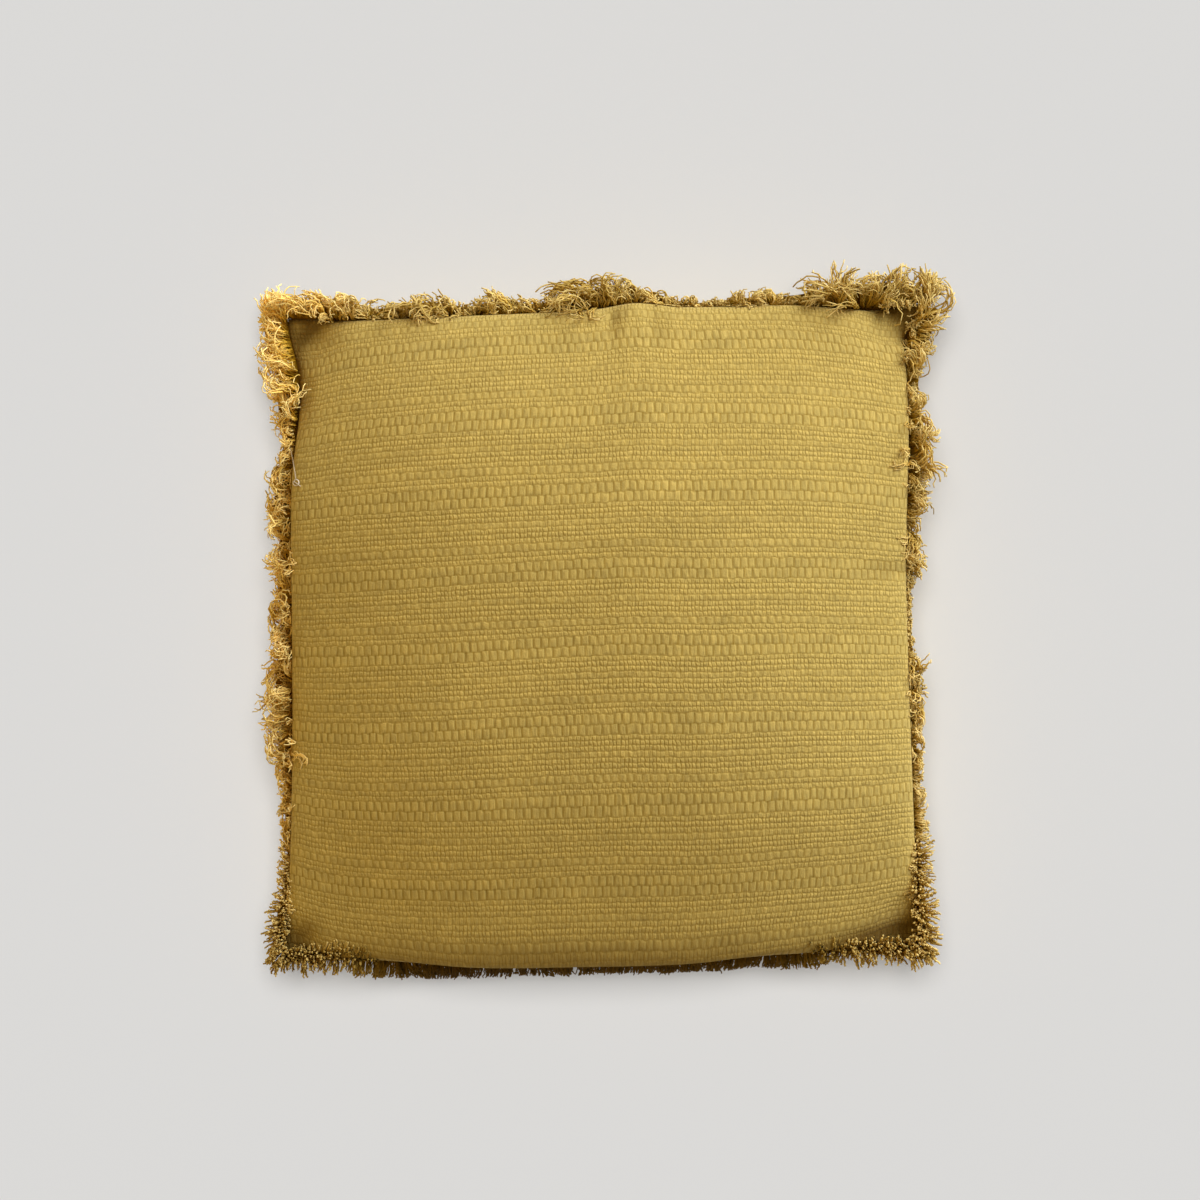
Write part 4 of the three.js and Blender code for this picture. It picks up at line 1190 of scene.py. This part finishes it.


# The weave as the map gives it, ends across and picks up. Thin picks show a small bump at every end, thick
# picks a bar at every other end. Returns how much of the top tone shows against the painted shade of the
# slots and lines, and the height
def weavePattern(tree, ends, pick, share, thick, waver):
    add, subtract, multiply, multiplyAdd = sums(tree)
    aside, up, patchy = waver
    thinWaver, thickWaver = clothFinish["waver"]
    waver = multiplyAdd(thick, thickWaver - thinWaver, thinWaver)
    wavyEnds = add(ends, multiply(subtract(aside, 0.5), waver))
    wavyShare = add(share, multiplyAdd(up, clothFinish["waverUp"], -clothFinish["waverUp"] / 2))
    barWave = calc(tree, "COSINE", multiply(subtract(subtract(wavyEnds, pick), 0.5), math.pi))
    endWave = calc(tree, "COSINE", multiply(wavyEnds, 2 * math.pi))
    bumpShare = clothFinish["bumpShare"]
    bumps = add(multiply(rangeMask(tree, endWave, *clothFinish["thinBump"]), bumpShare),
                multiply(rangeMask(tree, barWave, *clothFinish["thinBar"]), 1 - bumpShare))
    thinBumps = multiply(bumps, subtract(1.0, thick))
    across = add(thinBumps, multiply(rangeMask(tree, barWave, *clothFinish["thickBar"]), thick))
    rounded = add(thinBumps, multiply(rangeMask(tree, barWave, *clothFinish["thickBarHeight"]), thick))
    edge = calc(tree, "ABSOLUTE", multiplyAdd(wavyShare, 2.0, -1.0))
    profile, pillow = (rangeMask(tree, edge, start, multiplyAdd(thick, added, end))
                       for start, end, added in (clothFinish["pickTone"], clothFinish["pickHeight"]))
    height = multiply(multiply(rounded, pillow), multiplyAdd(thick, clothFinish["thickHeight"] - 1, 1.0))
    slots, lines = (multiplyAdd(thick, onThick - onThin, onThin)
                    for onThin, onThick in (clothFinish["paintedSlotShade"], clothFinish["paintedLineShade"]))
    slots = multiply(slots, rangeMask(tree, patchy, *clothFinish["patchy"]))
    shown = multiply(subtract(1.0, multiply(subtract(1.0, across), slots)),
                     subtract(1.0, multiply(subtract(1.0, profile), lines)))
    return shown, height


# Changes of tone from cell to cell, along a slub and from row to row
def weaveTone(tree, uv, ends, pick, thick):
    add, subtract, multiply, multiplyAdd = sums(tree)
    cell = addNode(tree, "ShaderNodeCombineXYZ")
    feed(tree, cell.inputs[0], calc(tree, "FLOOR", ends))
    feed(tree, cell.inputs[1], pick)
    chance = addNode(tree, "ShaderNodeTexWhiteNoise", noise_dimensions="2D")
    feed(tree, chance.inputs["Vector"], cell.outputs[0])
    row = addNode(tree, "ShaderNodeTexWhiteNoise", noise_dimensions="1D")
    feed(tree, row.inputs["W"], pick)
    slub = addNoise(tree, scaleVector(tree, uv, clothFinish["slubStretch"]), 1.0, 1, "2D")["Fac"]
    slubUneven, rowUneven = clothFinish["slubUneven"], clothFinish["rowUneven"]
    uneven = add(multiply(subtract(chance.outputs["Value"], 0.5), clothFinish["cellUneven"]),
                 multiplyAdd(slub, slubUneven, -slubUneven / 2))
    return add(add(uneven, multiplyAdd(thick, -clothFinish["thickDarker"], 1.0)),
               multiplyAdd(row.outputs["Value"], rowUneven, -rowUneven / 2))


def makeClothMaterial(cotton):
    material, tree, shader = newMaterial("slubWeave", clothFinish)
    _, subtract, multiply, multiplyAdd = sums(tree)
    uv = addNode(tree, "ShaderNodeUVMap", uv_map="weaveMap").outputs[0]
    split = addNode(tree, "ShaderNodeSeparateXYZ")
    feed(tree, split.inputs[0], uv)
    ends, picks = split.outputs[0], split.outputs[1]
    pick = calc(tree, "FLOOR", picks)
    thick = readAttribute(tree, "pickThickness")
    waver = addNode(tree, "ShaderNodeSeparateColor")
    feed(tree, waver.inputs[0], addNoise(tree, uv, clothFinish["waverScale"], 1, "2D")["Color"])
    shown, height = weavePattern(tree, ends, pick, subtract(picks, pick), thick, waver.outputs)
    # The gap color is painted shade in the slots between bars and the lines between rows
    color = mixColors(tree, shown, clothFinish["gap"], clothFinish["top"])
    color = scaleVector(tree, color, weaveTone(tree, uv, ends, pick, thick))
    strand = addNoise(tree, scaleVector(tree, uv, clothFinish["strandStretch"]), 1.0, 2, "2D")["Fac"]
    strandUneven = clothFinish["strandUneven"]
    color = scaleVector(tree, color, multiplyAdd(strand, strandUneven, 1 - strandUneven / 2))
    # Painted shade in the seams, corner hollows, folds and under the bottom's bulge, mixed towards the deep
    # color
    paintedShade = multiply(readAttribute(tree, "paintedShade"), clothFinish["paintedShadeDepth"])
    color = mixColors(tree, paintedShade, color, clothFinish["deep"])
    fibres = placeCotton(tree, cotton, shader, color, clothFinish["mottle"], clothFinish["fibre"])
    height = multiplyAdd(fibres, clothFinish["fibreHeight"], height)
    addBump(tree, shader, multiplyAdd(strand, clothFinish["strandHeight"], height), clothFinish)
    return material


# Painted shade at the root and painted light at the pale tip. A tone under 1 goes over to the deep color as
# painted shade, one over 1 is brighter as painted light; the random part of the tone is the yarn's own.
def makeYarnMaterial(name, finish, cotton):
    material, tree, shader = newMaterial(name, finish)
    _, subtract, multiply, multiplyAdd = sums(tree)
    run, tone = readAttribute(tree, "yarnRun"), readAttribute(tree, "yarnToneAndPaintedLight")
    color = mixColors(tree, multiply(run, yarnShading["rootEnd"]), finish["root"], finish["middle"])
    pale = calc(tree, "MAXIMUM", multiplyAdd(run, yarnShading["tipRise"], yarnShading["tipStart"]), 0.0)
    pale = calc(tree, "SMOOTH_MIN", pale, 1.0, 0.1)
    pale = multiply(pale, calc(tree, "MINIMUM", multiply(tone, tone), 1.0))
    color = mixColors(tree, pale, color, finish["tip"])
    color = mixColors(tree, calc(tree, "MAXIMUM", subtract(1.0, tone), 0.0), color, finish["deep"])
    color = scaleVector(tree, color, calc(tree, "MAXIMUM", tone, 1.0))
    height = placeCotton(tree, cotton, shader, color, yarnShading["mottle"], yarnShading["fibre"])
    addBump(tree, shader, height, yarnShading)
    return material


for piece in (cover, looseThread, *fringes.values()):
    bpy.data.collections["cushionLit"].objects.link(piece)

cottonGroup = makeCottonGroup()
cover.data.materials.clear()
cover.data.materials.append(makeClothMaterial(cottonGroup))
yarnMaterial = makeYarnMaterial("frayedYarn", yarnFinish, cottonGroup)
for piece in fringes.values():
    piece.data.materials.append(yarnMaterial)
looseThread.data.materials.append(makeYarnMaterial("paleThread", threadFinish, cottonGroup))
print("finishes given")
